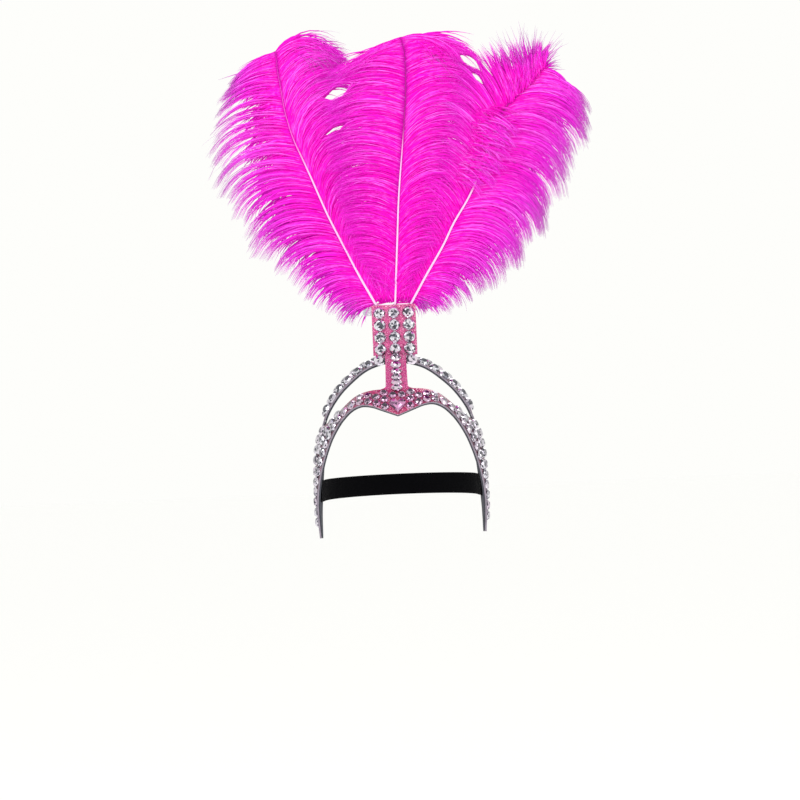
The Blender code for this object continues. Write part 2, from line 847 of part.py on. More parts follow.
def quill(name, table, collection, finish):
    """A tapered shaft from inside its groove in the slab to the tip of the plume."""
    curve = bpy.data.curves.new(name, "CURVE")
    curve.dimensions = "3D"
    curve.bevel_depth = MM
    curve.bevel_resolution = 2
    curve.use_fill_caps = True
    path = quill_path(table)
    radii = [Vector((radius, 0, 0)) for radius in column(table, QUILL_COLUMNS, "radius")]
    spline = curve.splines.new("POLY")
    spline.points.add(QUILL_POINTS - 1)
    for index, point in enumerate(spline.points):
        place = index / (QUILL_POINTS - 1) * (len(path) - 1)
        point.co = (*(smooth_at(path, place) * MM), 1.0)
        point.radius = smooth_at(radii, place).x
    curve.materials.append(finish)
    made = bpy.data.objects.new(name, curve)
    collection.objects.link(made)
    return made


# Plume holder

def plume_plate(collection, finish):
    piece = box_object(
        "plume_plate",
        (-PLATE_WIDTH / 2, PLATE_FRONT, PLATE_BOTTOM),
        (PLATE_WIDTH / 2, PLATE_FRONT + PLATE_THICK, PLATE_TOP),
        collection,
        finish,
    )
    edge = piece.modifiers.new("Soft edge", "BEVEL")
    edge.width = 0.3 * MM
    edge.segments = 1
    return piece


def plume_slab(part, cutters, finish):
    """The slab behind the plate that stands on the arch, with a groove for each quill."""
    front = PLATE_FRONT + PLATE_THICK + GAP
    slab = box_object(
        "plume_slab",
        (-SLAB_WIDTH / 2, front, SLAB_BOTTOM),
        (SLAB_WIDTH / 2, front + SLAB_DEPTH, SLAB_TOP),
        part,
        finish,
    )
    under = loft_under_arch("arch_under_slab", cutters)
    add_boolean(slab, "DIFFERENCE", under)
    for number, table in enumerate((QUILL_LEFT, QUILL_CENTRE, QUILL_RIGHT)):
        add_boolean(slab, "DIFFERENCE", groove(f"groove_{number}", table, front, cutters))
    return slab


def loft_under_arch(name, collection):
    """The arch and all below it, grown by the gap, to seat the slab on it."""
    rings = []
    deep = Vector((0, 0, ARCH_UNDER_SLAB_DEPTH))
    for half_step in range(-2 * ARCH_UNDER_SLAB_PLACES, 2 * ARCH_UNDER_SLAB_PLACES + 1):
        front, back = (
            arch_point(half_step / 2, across, FACING_THICK + GAP)[0] for across in (-2.0, 2.0)
        )
        rings.append([front, back, back - deep, front - deep])
    return hide_cutter(mesh_object(name, loft_mesh(name, rings), collection))


def groove(name, table, front, collection):
    """A channel open to the front of the slab, a little wider than the quill that lies in it."""
    path = quill_path(table)[:2]
    direction = (path[1] - path[0]).normalized()
    side = Vector((-direction.z, 0, direction.x)).normalized()
    half = column(table, QUILL_COLUMNS, "radius")[0] + GROOVE_CLEAR
    back = max(point.y for point in path) + half
    rings = []
    for point in (path[0] - direction * GAP * 2, path[1] + direction * GROOVE_PAST_TOP):
        rings.append([
            Vector((point.x, front - 1.0, point.z)) + side * half,
            Vector((point.x, front - 1.0, point.z)) - side * half,
            Vector((point.x, back, point.z)) - side * half,
            Vector((point.x, back, point.z)) + side * half,
        ])
    return hide_cutter(mesh_object(name, loft_mesh(name, rings), collection))


def clear_tab(collection, finish):
    """A strip of clear tape behind the slab, whose left end shows beside the plate."""
    back = PLATE_FRONT + PLATE_THICK + GAP + SLAB_DEPTH + GAP
    width, thickness, height = TAB_SIZE
    return box_object(
        "clear_tab",
        (TAB_LEFT, back, TAB_TOP - height),
        (TAB_LEFT + width, back + thickness, TAB_TOP),
        collection,
        finish,
    )


# Strap

def guard_inside_x(y, z):
    """Where the lining's inner face is on the left guard at a place seen from the side."""
    first, last = GUARD_ROWS
    along, over = GUARD_SAMPLES
    points = (
        band_point(first + (last - first) * i / along, j / over, -GAP - LINING_THICK)
        for i in range(along + 1)
        for j in range(over + 1)
    )
    return min(points, key=lambda point: (point.y - y) ** 2 + (point.z - z) ** 2).x


def strap_path():
    """The strap's top and bottom edge on the left half, from inside the guard to the middle behind."""
    top, bottom = STRAP_Z + STRAP_HEIGHT / 2, STRAP_Z - STRAP_HEIGHT / 2
    inset = STRAP_INSET
    rows = []
    for y in STRAP_ON_GUARD_Y:
        rows.append([
            Vector((guard_inside_x(y, top) + inset, y, top)),
            Vector((guard_inside_x(y, bottom) + inset, y, bottom)),
        ])
    leaving = rows[-1]
    for step in range(1, STRAP_STEPS + 1):
        angle = math.pi / 2 * step / STRAP_STEPS
        y = leaving[0].y + (STRAP_BACK_Y - leaving[0].y) * math.sin(angle)
        rows.append([Vector((edge.x * math.cos(angle), y, edge.z)) for edge in leaving])
    for edge in rows[-1]:
        edge.x = 0.0
    return rows


def elastic_strap(collection, finish):
    rows = strap_path()
    mesh = bmesh.new()
    lines = [[mesh.verts.new(point) for point in row] for row in rows]
    for row, following in zip(lines, lines[1:]):
        mesh.faces.new((row[0], row[1], following[1], following[0]))
    data = bpy.data.meshes.new("elastic_strap")
    mesh.to_mesh(data)
    mesh.free()
    piece = mesh_object("elastic_strap", data, collection, finish)
    add_mirror(piece)
    add_solidify(piece, STRAP_THICK, inward_offset(piece))
    return piece


def inward_offset(piece):
    """The Solidify offset that thickens the strap towards the head."""
    face = piece.data.polygons[0]
    return -1.0 if face.normal.x < 0 else 1.0


def build():
    for old in list(bpy.data.objects):
        bpy.data.objects.remove(old, do_unlink=True)

    part = new_collection("carnival_feather_headdress")
    cutters = new_collection("cutters")

    glitter_pink = material("glitter_pink", (0.72, 0.08, 0.30), 0.45)
    dark_foam = material("dark_foam", (0.07, 0.08, 0.10), 0.8)
    crystal = material("crystal", (0.90, 0.90, 0.93), 0.05, metallic=0.6)
    pink_crystal = material("pink_crystal", (0.95, 0.35, 0.70), 0.05, metallic=0.5)
    hot_pink_feather = material("hot_pink_feather", (0.95, 0.02, 0.55), 0.7)
    pale_quill = material("pale_quill", (0.95, 0.55, 0.85), 0.45)
    pale_foam = material("pale_foam", (0.93, 0.80, 0.88), 0.8)
    clear_film = material("clear_film", (0.92, 0.94, 0.96), 0.2, transmission=0.5)
    black_elastic = material("black_elastic", (0.01, 0.01, 0.012), 0.85)

    brow = frame_sheet("brow_band", 0.0, FACING_THICK, 1.0, part, glitter_pink)
    add_boolean(brow, "UNION", stone_field("brow_stones", both_sides(band_stone_seats()), cutters))
    frame_sheet("brow_lining", -GAP, LINING_THICK, -1.0, part, dark_foam)

    arch = mesh_object("crown_arch", sheet_mesh("crown_arch", [arch_grid(0.0)]), part, glitter_pink)
    add_solidify(arch, FACING_THICK, 1.0)
    add_boolean(arch, "UNION", stone_field("arch_stones", both_sides(arch_stone_seats()), cutters))
    lining = mesh_object("arch_lining", sheet_mesh("arch_lining", [arch_grid(-GAP)]), part, dark_foam)
    add_solidify(lining, LINING_THICK, -1.0)

    for number in range(STEM_STONES):
        seat, normal = stem_seat(STEM_STONE_START + number * STEM_STONE_PITCH, STEM_STONE)
        round_stone(f"stem_stone_{number + 1}", STEM_STONE, seat, normal, part, crystal)
    heart_stone(part, pink_crystal)

    plume_plate(part, glitter_pink)
    forward = Vector((0, -1, 0))
    for row, z in enumerate(PLATE_ROWS):
        for place, x in enumerate(PLATE_COLUMNS):
            name = f"plate_stone_{row + 1}_{place + 1}"
            round_stone(name, PLATE_STONE, Vector((x, PLATE_FRONT, z)), forward, part, crystal)
    plume_slab(part, cutters, pale_foam)
    clear_tab(part, clear_film)

    plumes = (
        ("left", QUILL_LEFT, (LEFT_OUTER, LEFT_INNER)),
        ("centre", QUILL_CENTRE, (CENTRE_OUTER, CENTRE_INNER)),
        ("right", QUILL_RIGHT, (RIGHT_OUTER, RIGHT_INNER)),
    )
    for side, table, vanes in plumes:
        quill(f"quill_{side}", table, part, pale_quill)
        plume(f"plume_{side}", table, vanes, part, hot_pink_feather)

    elastic_strap(part, black_elastic)


build()
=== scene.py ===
"""Carnival feather headdress: glitter foam, cut stones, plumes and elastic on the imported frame.

Tables are in millimetres and are turned into metres as meshes are made. X points to the viewer's
right, -Y to the front, +Z up. The origin is the inside of the crown arch at its top.
"""

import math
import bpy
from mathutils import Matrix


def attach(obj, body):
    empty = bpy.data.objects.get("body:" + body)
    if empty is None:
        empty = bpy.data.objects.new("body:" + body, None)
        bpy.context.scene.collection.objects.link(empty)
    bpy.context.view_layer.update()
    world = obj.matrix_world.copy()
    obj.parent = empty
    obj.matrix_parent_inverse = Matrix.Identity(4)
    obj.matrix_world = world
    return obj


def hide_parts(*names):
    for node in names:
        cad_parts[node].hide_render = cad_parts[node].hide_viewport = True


bl_info = {
    "name": "Carnival feather headdress",
    "version": (1, 0, 0),
    "blender": (4, 5, 0),
    "location": "3D View > Sidebar > Headdress",
    "description": "Builds the headdress's foam, stones, plumes and elastic on its frame",
    "category": "Add Mesh",
}

import bpy
import numpy as np
from bpy.props import FloatProperty, FloatVectorProperty, IntProperty, PointerProperty
from mathutils import Matrix, Vector

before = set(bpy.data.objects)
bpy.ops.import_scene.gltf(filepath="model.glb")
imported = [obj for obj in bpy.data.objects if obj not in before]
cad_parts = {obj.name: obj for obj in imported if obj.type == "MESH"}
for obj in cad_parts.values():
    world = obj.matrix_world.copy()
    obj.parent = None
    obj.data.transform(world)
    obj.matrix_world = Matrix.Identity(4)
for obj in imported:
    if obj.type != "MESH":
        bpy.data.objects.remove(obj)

MM = 0.001
GAP = 0.3
HEAD_RADIUS = 95.0
HEAD_CENTRE = Vector((0.0, 0.0, -95.0))

# Modelling: edges sharper than the first angle are rounded, and what turns less than the second, or
# on quills and elastic the first, is shaded smooth; points closer than these metres are welded
EDGE_ANGLE = math.radians(50)
SMOOTH_ANGLE = math.radians(40)
WELD = 0.00001
MIRROR_WELD = 0.00002

# Brow band and side guard, left half, from the middle of the brow to the guard's tip
BAND_COLUMNS = ("lower_x", "lower_y", "lower_z", "upper_x", "upper_y", "upper_z")
BAND_SECTIONS = (
    (0.0, -90.0, -57.5, 0.0, -69.0, -31.5),
    (-15.5, -87.5, -51.5, -16.5, -68.0, -31.5),
    (-27.0, -83.5, -47.3, -25.0, -64.5, -32.0),
    (-37.5, -78.5, -46.5, -34.0, -60.0, -34.0),
    (-47.4, -72.0, -50.8, -43.0, -54.0, -38.0),
    (-55.8, -65.0, -58.5, -52.5, -46.5, -45.5),
    (-62.3, -57.0, -66.8, -61.5, -37.5, -54.0),
    (-70.0, -46.5, -80.0, -71.0, -26.0, -62.0),
    (-76.0, -37.0, -94.5, -79.0, -13.4, -67.6),
    (-80.2, -29.5, -107.0, -79.4, 0.0, -67.6),
    (-83.4, -23.5, -119.0, -79.0, 13.4, -67.6),
    (-86.2, -18.0, -134.0, -81.0, 15.0, -96.0),
    (-87.6, -13.5, -150.0, -84.0, 13.5, -126.0),
    (-87.4, -9.0, -168.0, -86.2, 9.0, -157.0),
    (-86.7, -4.8, -181.0, -86.6, 4.8, -181.0),
    (-86.6, -2.0, -184.5, -86.6, 2.0, -184.5),
)
UPPER_CORNERS = (8, 10)
BAND_STEPS_FIRST = 8
BAND_STEPS_EACH = 5
BAND_STEPS_ACROSS = 8

# Stem, from the brow up to the foot of the plume plate
STEM_COLUMNS = ("y", "z", "half_width")
STEM_SECTIONS = (
    (-69.0, -31.5, 16.5),
    (-66.9, -30.4, 13.2),
    (-63.6, -28.8, 11.6),
    (-59.0, -26.5, 11.4),
    (-48.2, -20.8, 11.3),
    (-37.2, -14.8, 11.2),
    (-27.5, -7.2, 11.1),
    (-18.6, -0.2, 11.0),
    (-12.7, 4.8, 11.0),
)

# Crown arch, right half of its centre line, and how far its face leans forward there
ARCH_COLUMNS = ("x", "z", "lean")
ARCH_SECTIONS = (
    (0.0, 1.7, 11.0),
    (10.5, 0.8, 11.0),
    (21.2, -1.9, 11.0),
    (30.8, -5.6, 11.0),
    (40.4, -11.6, 11.0),
    (52.2, -21.4, 11.0),
    (60.8, -30.2, 10.0),
    (68.0, -40.2, 8.0),
    (73.6, -50.4, 5.0),
    (77.2, -60.0, 2.0),
    (78.9, -66.4, 0.0),
)
ARCH_WIDTH = 26.0
ARCH_STEPS_EACH = 4
ARCH_STEPS_ACROSS = 6
ARCH_FRONT_FROM_X = 27.5
ARCH_REAR_FROM_X = 8.9

# Stones: the same seats as on the frame
STONE_SPACE = 0.3
STONE_ROWS_MOST = 8
SEAT_STEPS = 40
BROW_STONE = 4.4
GUARD_STONE = 5.5
GUARD_STONE_FROM_X = -44.0
ARCH_STONE = 6.1
ARCH_STONE_LEAN = 22.0
ARCH_STONE_LIFT = 0.8
CORNER_STONE = 6.0
CORNER_STONE_X = 17.0
CORNER_STONE_PLACE = 1.6
CORNER_STONE_LEAN = 24.0
CORNER_STONE_RAISE = 1.8
BAND_MARGIN = 0.4
PLATE_STONE = 6.2
STEM_STONE = 5.7
STEM_STONES = 6
STEM_STONE_PITCH = 12.2
STEM_STONE_START = 0.6
STEM_BEND_CLEAR = 1.15
HEART_LIFT = 0.36
HEART_HALF_WIDTH = 8.3
HEART_LENGTH = 19.0
HEART_POINTS = 28
HEART_WAVES = (
    (1, 0.80, 0.85),
    (2, 0.0, -0.28),
    (3, -0.20, -0.12),
    (4, 0.0, -0.05),
)
# The heart's levels: how wide it is there and how high; the narrow ones shift towards its point
HEART_LEVELS = ((1.0, 0.0), (1.0, 1.0), (0.76, 2.8), (0.46, 4.0))
HEART_SHIFT = -0.6
HEART_TABLE_Y = 0.2
# The painted light of its blocks of facets and of the facets in them, and its painted pink
# reflection
HEART_BLOCK_LIGHT, HEART_FACET_LIGHT = (0.15, 1.0), (0.7, 1.0)
HEART_PINK_REFLECTION = 0.5
HEART_SEED = 21

# How far to the sides the brow's pink shows in its stones as a painted reflection, how much more
# often facets are painted dark in the fields, and how far those stones stand off the facing
PINK_REFLECTION_WIDTH = 48.0
FIELD_DARKER = 1.7
STONE_LIFT = 0.02

# In metres: where the facing turns to its second colour beside the brow, where a quill turns to its
# dye, and half the width and the lower end of the stem's own glitter
SIDE_COLOUR_FROM = (0.028, 0.062)
QUILL_DYED_FROM = (0.05, 0.33)
STEM_GLITTER_HALF_WIDTH = 0.0125
STEM_GLITTER_FROM_Z = -0.0298

# A round stone of radius 1: corners, radius, height and turn of each ring of facet corners
STONE_RINGS = (
    (16, 1.0, 0.0, 0.0),
    (16, 1.0, 0.16, 0.0),
    (8, 0.82, 0.42, 22.5),
    (8, 0.56, 0.60, 0.0),
)

# Facets of a stone, with painted reflections: how far down and out those of the table lie, how
# often they and the crown's are painted dark, and how much light a dark one, one of the table and
# one of the crown throw back
TABLE_DEPTH = 0.001
TABLE_REACH = 0.5
TABLE_DARKER = 1.5
CROWN_DARKER = 0.45
DARK_LIGHT = (0.0, 0.22)
TABLE_LIGHT = (0.35, 1.0)
CROWN_LIGHT = (0.45, 1.0)
# How much the painted pink reflection differs between stones
PINK_REFLECTION_SPREAD = 0.10

# Plume plate
PLATE_WIDTH = 46.6
PLATE_BOTTOM = 5.8
PLATE_TOP = 59.0
PLATE_THICK = 1.8
PLATE_FRONT = -10.6
PLATE_ROUND = 0.0005
PLATE_ROWS = (50.8, 37.8, 24.9, 12.4)
PLATE_COLUMNS = (-15.3, 0.0, 15.3)

# Plume quills, from inside the slab to their tips: x, y, z, and the radius of the shaft
QUILL_STEPS = 64
QUILL_LEFT = (
    (-9.3, -6.2, 41.0, 1.9),
    (-18.7, -5.8, 60.6, 1.9),
    (-33.9, -3.2, 90.0, 1.8),
    (-48.9, -0.4, 122.0, 1.7),
    (-64.9, 3.0, 156.6, 1.6),
    (-80.7, 7.0, 196.6, 1.4),
    (-89.3, 9.6, 218.1, 1.3),
    (-97.0, 11.4, 236.5, 0.9),
    (-101.9, 12.4, 251.6, 0.7),
    (-106.9, 13.2, 273.0, 0.6),
    (-109.7, 12.8, 294.4, 0.55),
    (-112.2, 11.2, 312.5, 0.45),
    (-113.7, 8.8, 334.0, 0.4),
)
QUILL_CENTRE = (
    (0.6, -6.2, 41.0, 1.9),
    (2.2, -6.2, 61.4, 1.9),
    (4.8, -6.4, 96.0, 1.8),
    (7.5, -6.7, 131.2, 1.7),
    (10.9, -6.8, 174.5, 1.5),
    (16.8, -6.4, 225.2, 1.2),
    (20.6, -6.0, 260.0, 0.8),
    (23.0, -5.8, 286.5, 0.7),
    (23.5, -7.2, 322.5, 0.5),
    (20.2, -8.6, 341.0, 0.4),
)
QUILL_RIGHT = (
    (8.6, -6.2, 41.0, 1.9),
    (19.5, -6.8, 60.6, 1.9),
    (36.7, -10.2, 89.6, 1.8),
    (54.9, -13.4, 118.5, 1.7),
    (67.6, -15.8, 142.3, 1.6),
    (82.4, -18.2, 165.0, 1.5),
    (91.7, -19.8, 182.7, 1.4),
    (101.0, -21.6, 205.0, 1.2),
    (110.0, -23.4, 228.0, 0.9),
    (120.0, -25.0, 250.0, 0.75),
    (133.0, -26.0, 266.0, 0.6),
    (151.0, -26.6, 282.0, 0.5),
    (168.0, -26.8, 300.0, 0.4),
)

# Vanes: how far along the quill, the barbs' length, and the headings that they leave and arrive at,
# in degrees in the XZ plane, 0 to the right and 90 up
VANE_COLUMNS = ("along", "reach", "leave", "arrive")
LEFT_OUTER = (
    (0.00, 47, 177, 244),
    (0.08, 76, 165, 247),
    (0.16, 87, 161, 245),
    (0.25, 108, 160, 245),
    (0.38, 114, 161, 245),
    (0.50, 114, 163, 246),
    (0.62, 110, 164, 243),
    (0.75, 95, 166, 236),
    (0.86, 77, 173, 233),
    (0.94, 66, 185, 232),
    (1.00, 60, 194, 232),
)
LEFT_INNER = (
    (0.00, 36, 84, 40),
    (0.12, 60, 96, 6),
    (0.30, 88, 94, -30),
    (0.50, 108, 88, -30),
    (0.75, 108, 78, -34),
    (0.88, 96, 60, -48),
    (0.95, 90, 48, -64),
    (1.00, 84, 42, -72),
)
CENTRE_OUTER = (
    (0.00, 34, 128, 176),
    (0.20, 68, 138, 206),
    (0.40, 84, 148, 216),
    (0.60, 94, 153, 220),
    (0.82, 90, 160, 222),
    (0.92, 74, 182, 230),
    (1.00, 58, 197, 228),
)
CENTRE_INNER = (
    (0.00, 34, 60, 20),
    (0.20, 66, 54, -30),
    (0.40, 98, 52, -48),
    (0.60, 112, 50, -56),
    (0.85, 98, 30, -58),
    (1.00, 84, 10, -66),
)
RIGHT_OUTER = (
    (0.00, 36, 6, -76),
    (0.08, 66, 14, -84),
    (0.16, 93, 18, -89),
    (0.28, 108, 18, -93),
    (0.40, 109, 18, -94),
    (0.55, 114, 19, -90),
    (0.70, 116, 20, -84),
    (0.82, 111, 22, -79),
    (0.93, 76, 12, -76),
    (1.00, 34, -16, -66),
)
RIGHT_INNER = (
    (0.00, 34, 100, 130),
    (0.25, 64, 108, 172),
    (0.50, 76, 108, 166),
    (0.70, 82, 108, 146),
    (0.80, 74, 106, 124),
    (0.90, 56, 100, 98),
    (1.00, 34, 78, 58),
)

# Where the barbs of a vane part along it, how far apart their tips go in degrees, and its width
PARTINGS = {
    "left_outer": ((0.34, 5.0, 0.02), (0.55, 7.0, 0.03), (0.72, 8.0, 0.03), (0.85, 6.0, 0.02)),
    "left_inner": ((0.72, 12.0, 0.02), (0.87, 16.0, 0.03)),
    "centre_outer": (),
    "centre_inner": ((0.93, 12.0, 0.03),),
    "right_outer": ((0.35, 3.0, 0.03), (0.525, -6.0, 0.03)),
    "right_inner": ((0.80, 12.0, 0.03), (0.90, 10.0, 0.02)),
}

# Small windows where two plumes meet: middle in x and z, half length, half height, and tilt. Every
# so many barbs, one crosses them
LEFT_WINDOWS = ((-49.5, 287.5, 13.5, 8.0, 25.0), (-53.5, 248.0, 13.0, 4.5, 25.0))
RIGHT_WINDOWS = ((90.9, 312.5, 12.0, 6.0, -36.0), (99.0, 294.0, 7.5, 4.0, -48.0))
WINDOWS = {
    "left_inner": LEFT_WINDOWS,
    "centre_outer": LEFT_WINDOWS,
    "centre_inner": RIGHT_WINDOWS,
    "right_inner": RIGHT_WINDOWS,
}
WINDOW_CROSSERS = 40

# Loose sprays at the plate and the tips, and the tufts over the right quill: their range along the
# quill, the count, how many barbs lie side by side, how far the roots are to the right of the
# quill and behind it, the ranges of the headings that they leave and arrive at and of their reach,
# and the shade
CENTRE_FOOT = ((0.0, 0.02), 220, 1, (-17, 17), (0, 5), (120, 60), (140, 40), (16, 46), 0.50)
SPRAYS = {
    "left_outer": (
        ((0.0, 0.04), 90, 1, (-2, 2), (4, 9), (165, 205), (232, 258), (22, 40), 0.30),
    ),
    "left_inner": (
        ((0.97, 1.0), 80, 1, (-1, 1), (0, 5), (46, 6), (-34, -68), (40, 80), 0.30),
    ),
    "centre_outer": (CENTRE_FOOT,),
    "centre_inner": (
        ((0.97, 1.0), 50, 1, (-1, 1), (0, 5), (2, -24), (-52, -72), (44, 80), 0.30),
        CENTRE_FOOT,
    ),
    "right_outer": (
        ((0.97, 1.0), 50, 1, (-2, 2), (0, 5), (72, 0), (40, -40), (12, 25), 0.30),
        ((0.0, 0.02), 130, 1, (-3, 3), (0, 5), (20, -30), (-50, -105), (10, 22), 0.30),
    ),
    "right_inner": (
        ((0.88, 0.94), 130, 1, (-6, 6), (0, 5), (128, 56), (146, 36), (32, 66), 0.22),
        ((0.47, 0.73), 760, 4, (-26, 1), (-10, -4), (8, -32), (-30, -70), (16, 34), 0.60),
        ((0.70, 0.79), 120, 4, (-34, -8), (-10, -4), (0, -36), (-44, -74), (18, 36), 0.44),
        ((0.80, 1.0), 200, 4, (0, 3), (-4, -1.5), (70, 116), (60, 96), (12, 26), 0.45),
    ),
}
SPRAY_LEAN = 5
SPRAY_DROOP = 12
SPRAY_CURL = 4
FADING_BELOW = 0.4

# Vanes as built: share of the barbs, the strands' pitch along the quill, how far locks may close,
# how firmly barbs hold together in a strand and how late they come together, how grey the tips
# are, how much shorter barbs may be, how far the down behind them reaches, how many strands are
# lost where the vane is thin, how far the tips swing back and how unevenly the locks hang
BUILD_COLUMNS = (
    "quill", "table", "share", "pitch", "closing", "firmness", "late",
    "greyness", "shorter", "down", "thin", "swing", "unrest",
)
VANES = {
    "left_outer": (
        QUILL_LEFT, LEFT_OUTER, 1.00, 0.0062, 0.25, 1.0, 0.45, 1.0, 0.45, 0.80, 0.62, 0, 0.32),
    "left_inner": (
        QUILL_LEFT, LEFT_INNER, 1.15, 0.0085, 0.30, 0.70, 1.2, 0.60, 0.30, 0.96, 0.0, 0, 1.0),
    "centre_outer": (
        QUILL_CENTRE, CENTRE_OUTER, 0.95, 0.0085, 0.20, 0.55, 1.2, 0.50, 0.30, 0.96, 0.0, -3, 1.0),
    "centre_inner": (
        QUILL_CENTRE, CENTRE_INNER, 1.10, 0.0085, 0.40, 0.70, 1.2, 0.50, 0.35, 0.92, 0.0, -10, 1.0),
    "right_outer": (
        QUILL_RIGHT, RIGHT_OUTER, 1.20, 0.0110, 0.42, 0.92, 1.0, 1.0, 0.50, 0.65, 0.0, 0, 0.35),
    "right_inner": (
        QUILL_RIGHT, RIGHT_INNER, 0.80, 0.0100, 0.40, 0.70, 1.2, 0.60, 0.40, 0.85, 0.0, 12, 1.0),
}
# Where along the quill a vane loses strands, how many there: none, all that it may, all, none, and
# how much more painted light, how much greyer and how much narrower its barbs are there
THIN_ALONG = (0.34, 0.42, 0.80, 0.88)
THIN_SHARES = (0, 1, 1, 0)
THINNED_PALER = 0.14
THINNED_GREYER = 0.25
THINNED_NARROWER = 0.60

# Locks, their strands and the barbs in those: how far each turns at its root and its tip in
# degrees, the ranges of its length and of how far a lock closes or a barb holds to its strand, and
# the painted light and shade, darker at the strands' edges and on the down, evened out near the
# plate on the inner vanes
LOCK_PITCH = 0.034
LOCK_LEAN, LOCK_DROOP = 2.0, 5.0
LOCK_LENGTHS = (0.90, 1.0)
LOCK_CLOSINGS = (0.35, 1.0)
LOCK_CLOSES_LATE = 1.5
CLUMP_LEAST = 0.5
STRAND_LEAN, STRAND_DROOP = 2.0, 4.5
STRAND_LENGTHS = (0.88, 1.04)
STRAND_SHADE = 0.055
BARB_LEAN, BUSH_LEAN, DOWN_LEAN = 3.0, 20.0, 4.0
BARB_DROOP, BUSH_DROOP, DOWN_DROOP, STRAY_DROOP = 4.0, 16.0, 14.0, 12.0
BARB_LONGEST = 1.03
SHORT_POWER = 1.2
BARB_HOLDS = (0.8, 1.0)
LOOSE_HOLD = 0.2
TIP_RELEASE = 0.1
SHADE_MIDDLE = 0.66
BARB_SHADE = 0.10
EDGE_DARKER, DOWN_DARKER = 0.42, 0.12
STRAY_SHARE = 0.04
BUSH_END = 0.05
CALM, CALM_UP_TO, CALM_SHADE = 1.7, 0.5, 0.5
GOLDEN = 0.618

# Down behind the barbs: its share, how short it may be, how its lengths are spread and how that
# and its reach change where the vane is thin, and its width
DOWN_SHARE = 0.38
DOWN_LEAST = 0.25
DOWN_LENGTHS, DOWN_THIN_LENGTHS = 0.65, 3
DOWN_THINNED = 0.52
DOWN_WIDTH = 2.1

# Depth of a vane: where in it barbs and down lie, how soon they reach that depth, how much of a
# quill's radius their roots sit behind it, and how far in mm barbs curl, arch and stand off
BARB_DEPTHS, DOWN_DEPTHS = (0.0, 0.45), (0.45, 1.0)
EDGE_DEPTH = 0.35
DEPTH_AT_QUILL = 0.3
DEPTH_EASE = 0.6
ROOT_BEHIND = 0.4
BARB_CURL = 2.5
BARB_ARCH, ARCH_EARLY = 1.5, 1.2
BUSH_BACK = 9.0

# A barb: how it bends, its rings and sides, its twist, widths, how full it is at the root and more
# so in the middle, how late it tapers, its flatness, and half width at the tip
BARB_BEND = 1.3
PATH_FINENESS = 3
BARB_RINGS = 9
BARB_SIDES = 3
BARB_TWIST = 0.5
BARB_WIDTHS = (0.55, 1.4)
BARB_FULLNESS, BARB_BELLY, BARB_TAPER = 0.9, 0.5, 1.8
BARB_FLATNESS = 0.55
BARB_POINT = 0.05
LOOSE_WIDTH = 0.75

# Elastic strap, and where the guard's inside is sampled for its ends
STRAP_HEIGHT = 22.5
STRAP_THICK = 1.4
STRAP_INSET = 0.9
STRAP_Z = -134.5
STRAP_BACK_Y = 102.0
STRAP_ON_GUARD_Y = (-9.0, -1.0, 7.0, 13.0)
STRAP_STEPS = 36
STRAP_CORDS = 11
STEPS_PER_CORD = 4
GUARD_ROWS = (9, 14)
GUARD_SAMPLES = (120, 24)

# Stage, in metres and watts: the camera's place, and each lamp's name, place, size and power
CAMERA_X, CAMERA_Z = 0.0027, -0.0417
SENSOR_WIDTH = 36.0
FLOOR_SIZE = 40.0
LIT_PLACE = Vector((0.0, 0.0, 0.08))
LAMPS = (
    ("key_light", (-1.1, -1.6, 1.3), 1.0, 26.0),
    ("fill_light", (1.5, -1.4, 0.3), 1.4, 9.0),
    ("back_light", (0.4, 1.6, 1.2), 1.2, 14.0),
)


# Sizes and colours that a user would change

def colour_setting(name, description, default):
    return FloatVectorProperty(
        name=name, description=description, subtype="COLOR", default=default, min=0.0, max=1.0)


class FoamSettings(bpy.types.PropertyGroup):
    facing_thickness: FloatProperty(
        name="Facing", description="Thickness of the glitter foam",
        default=0.0018, min=0.0005, max=0.004, unit="LENGTH")
    lining_thickness: FloatProperty(
        name="Lining", description="Thickness of the dark foam behind it",
        default=0.0014, min=0.0005, max=0.004, unit="LENGTH")
    edge_round: FloatProperty(
        name="Edge rounding", description="Rounding of the cut edges",
        default=0.0003, min=0.0, max=0.001, unit="LENGTH")
    flake_size: FloatProperty(
        name="Flake size", description="Size of one glitter flake",
        default=0.0006, min=0.0001, max=0.003, unit="LENGTH")
    plate_colour: colour_setting(
        "Plate", "Glitter of the plume plate and the stem", (0.52, 0.070, 0.23))
    brow_colour: colour_setting(
        "Brow", "Glitter of the brow between the guards", (0.36, 0.020, 0.11))
    arch_colour: colour_setting(
        "Arch and guards", "Duller glitter of the arch and the guards", (0.15, 0.060, 0.090))
    cut_colour: colour_setting(
        "Cut edge", "Foam body where the facing is cut", (0.23, 0.20, 0.24))
    lining_colour: colour_setting(
        "Lining colour", "Dark foam next to the head", (0.034, 0.036, 0.047))


class StoneSettings(bpy.types.PropertyGroup):
    # How often facets are painted dark: a painted reflection
    painted_dark_share: FloatProperty(
        name="Dark facets", description="Share of facets that look into the dark foil",
        default=0.38, min=0.0, max=1.0, subtype="FACTOR")
    crystal_tint: colour_setting(
        "Crystal", "Tint of the clear stones", (0.86, 0.84, 0.88))
    field_tint: colour_setting(
        "Field", "Tint of the smaller stones on the band and the arch", (0.70, 0.70, 0.73))
    # Colour of the painted pink reflection of the foam in the stones
    blush_tint: colour_setting(
        "Blush", "Tint of the stones that mirror the pink foam", (0.62, 0.32, 0.50))
    heart_tint: colour_setting(
        "Heart", "Tint of the heart stone", (0.95, 0.42, 0.72))


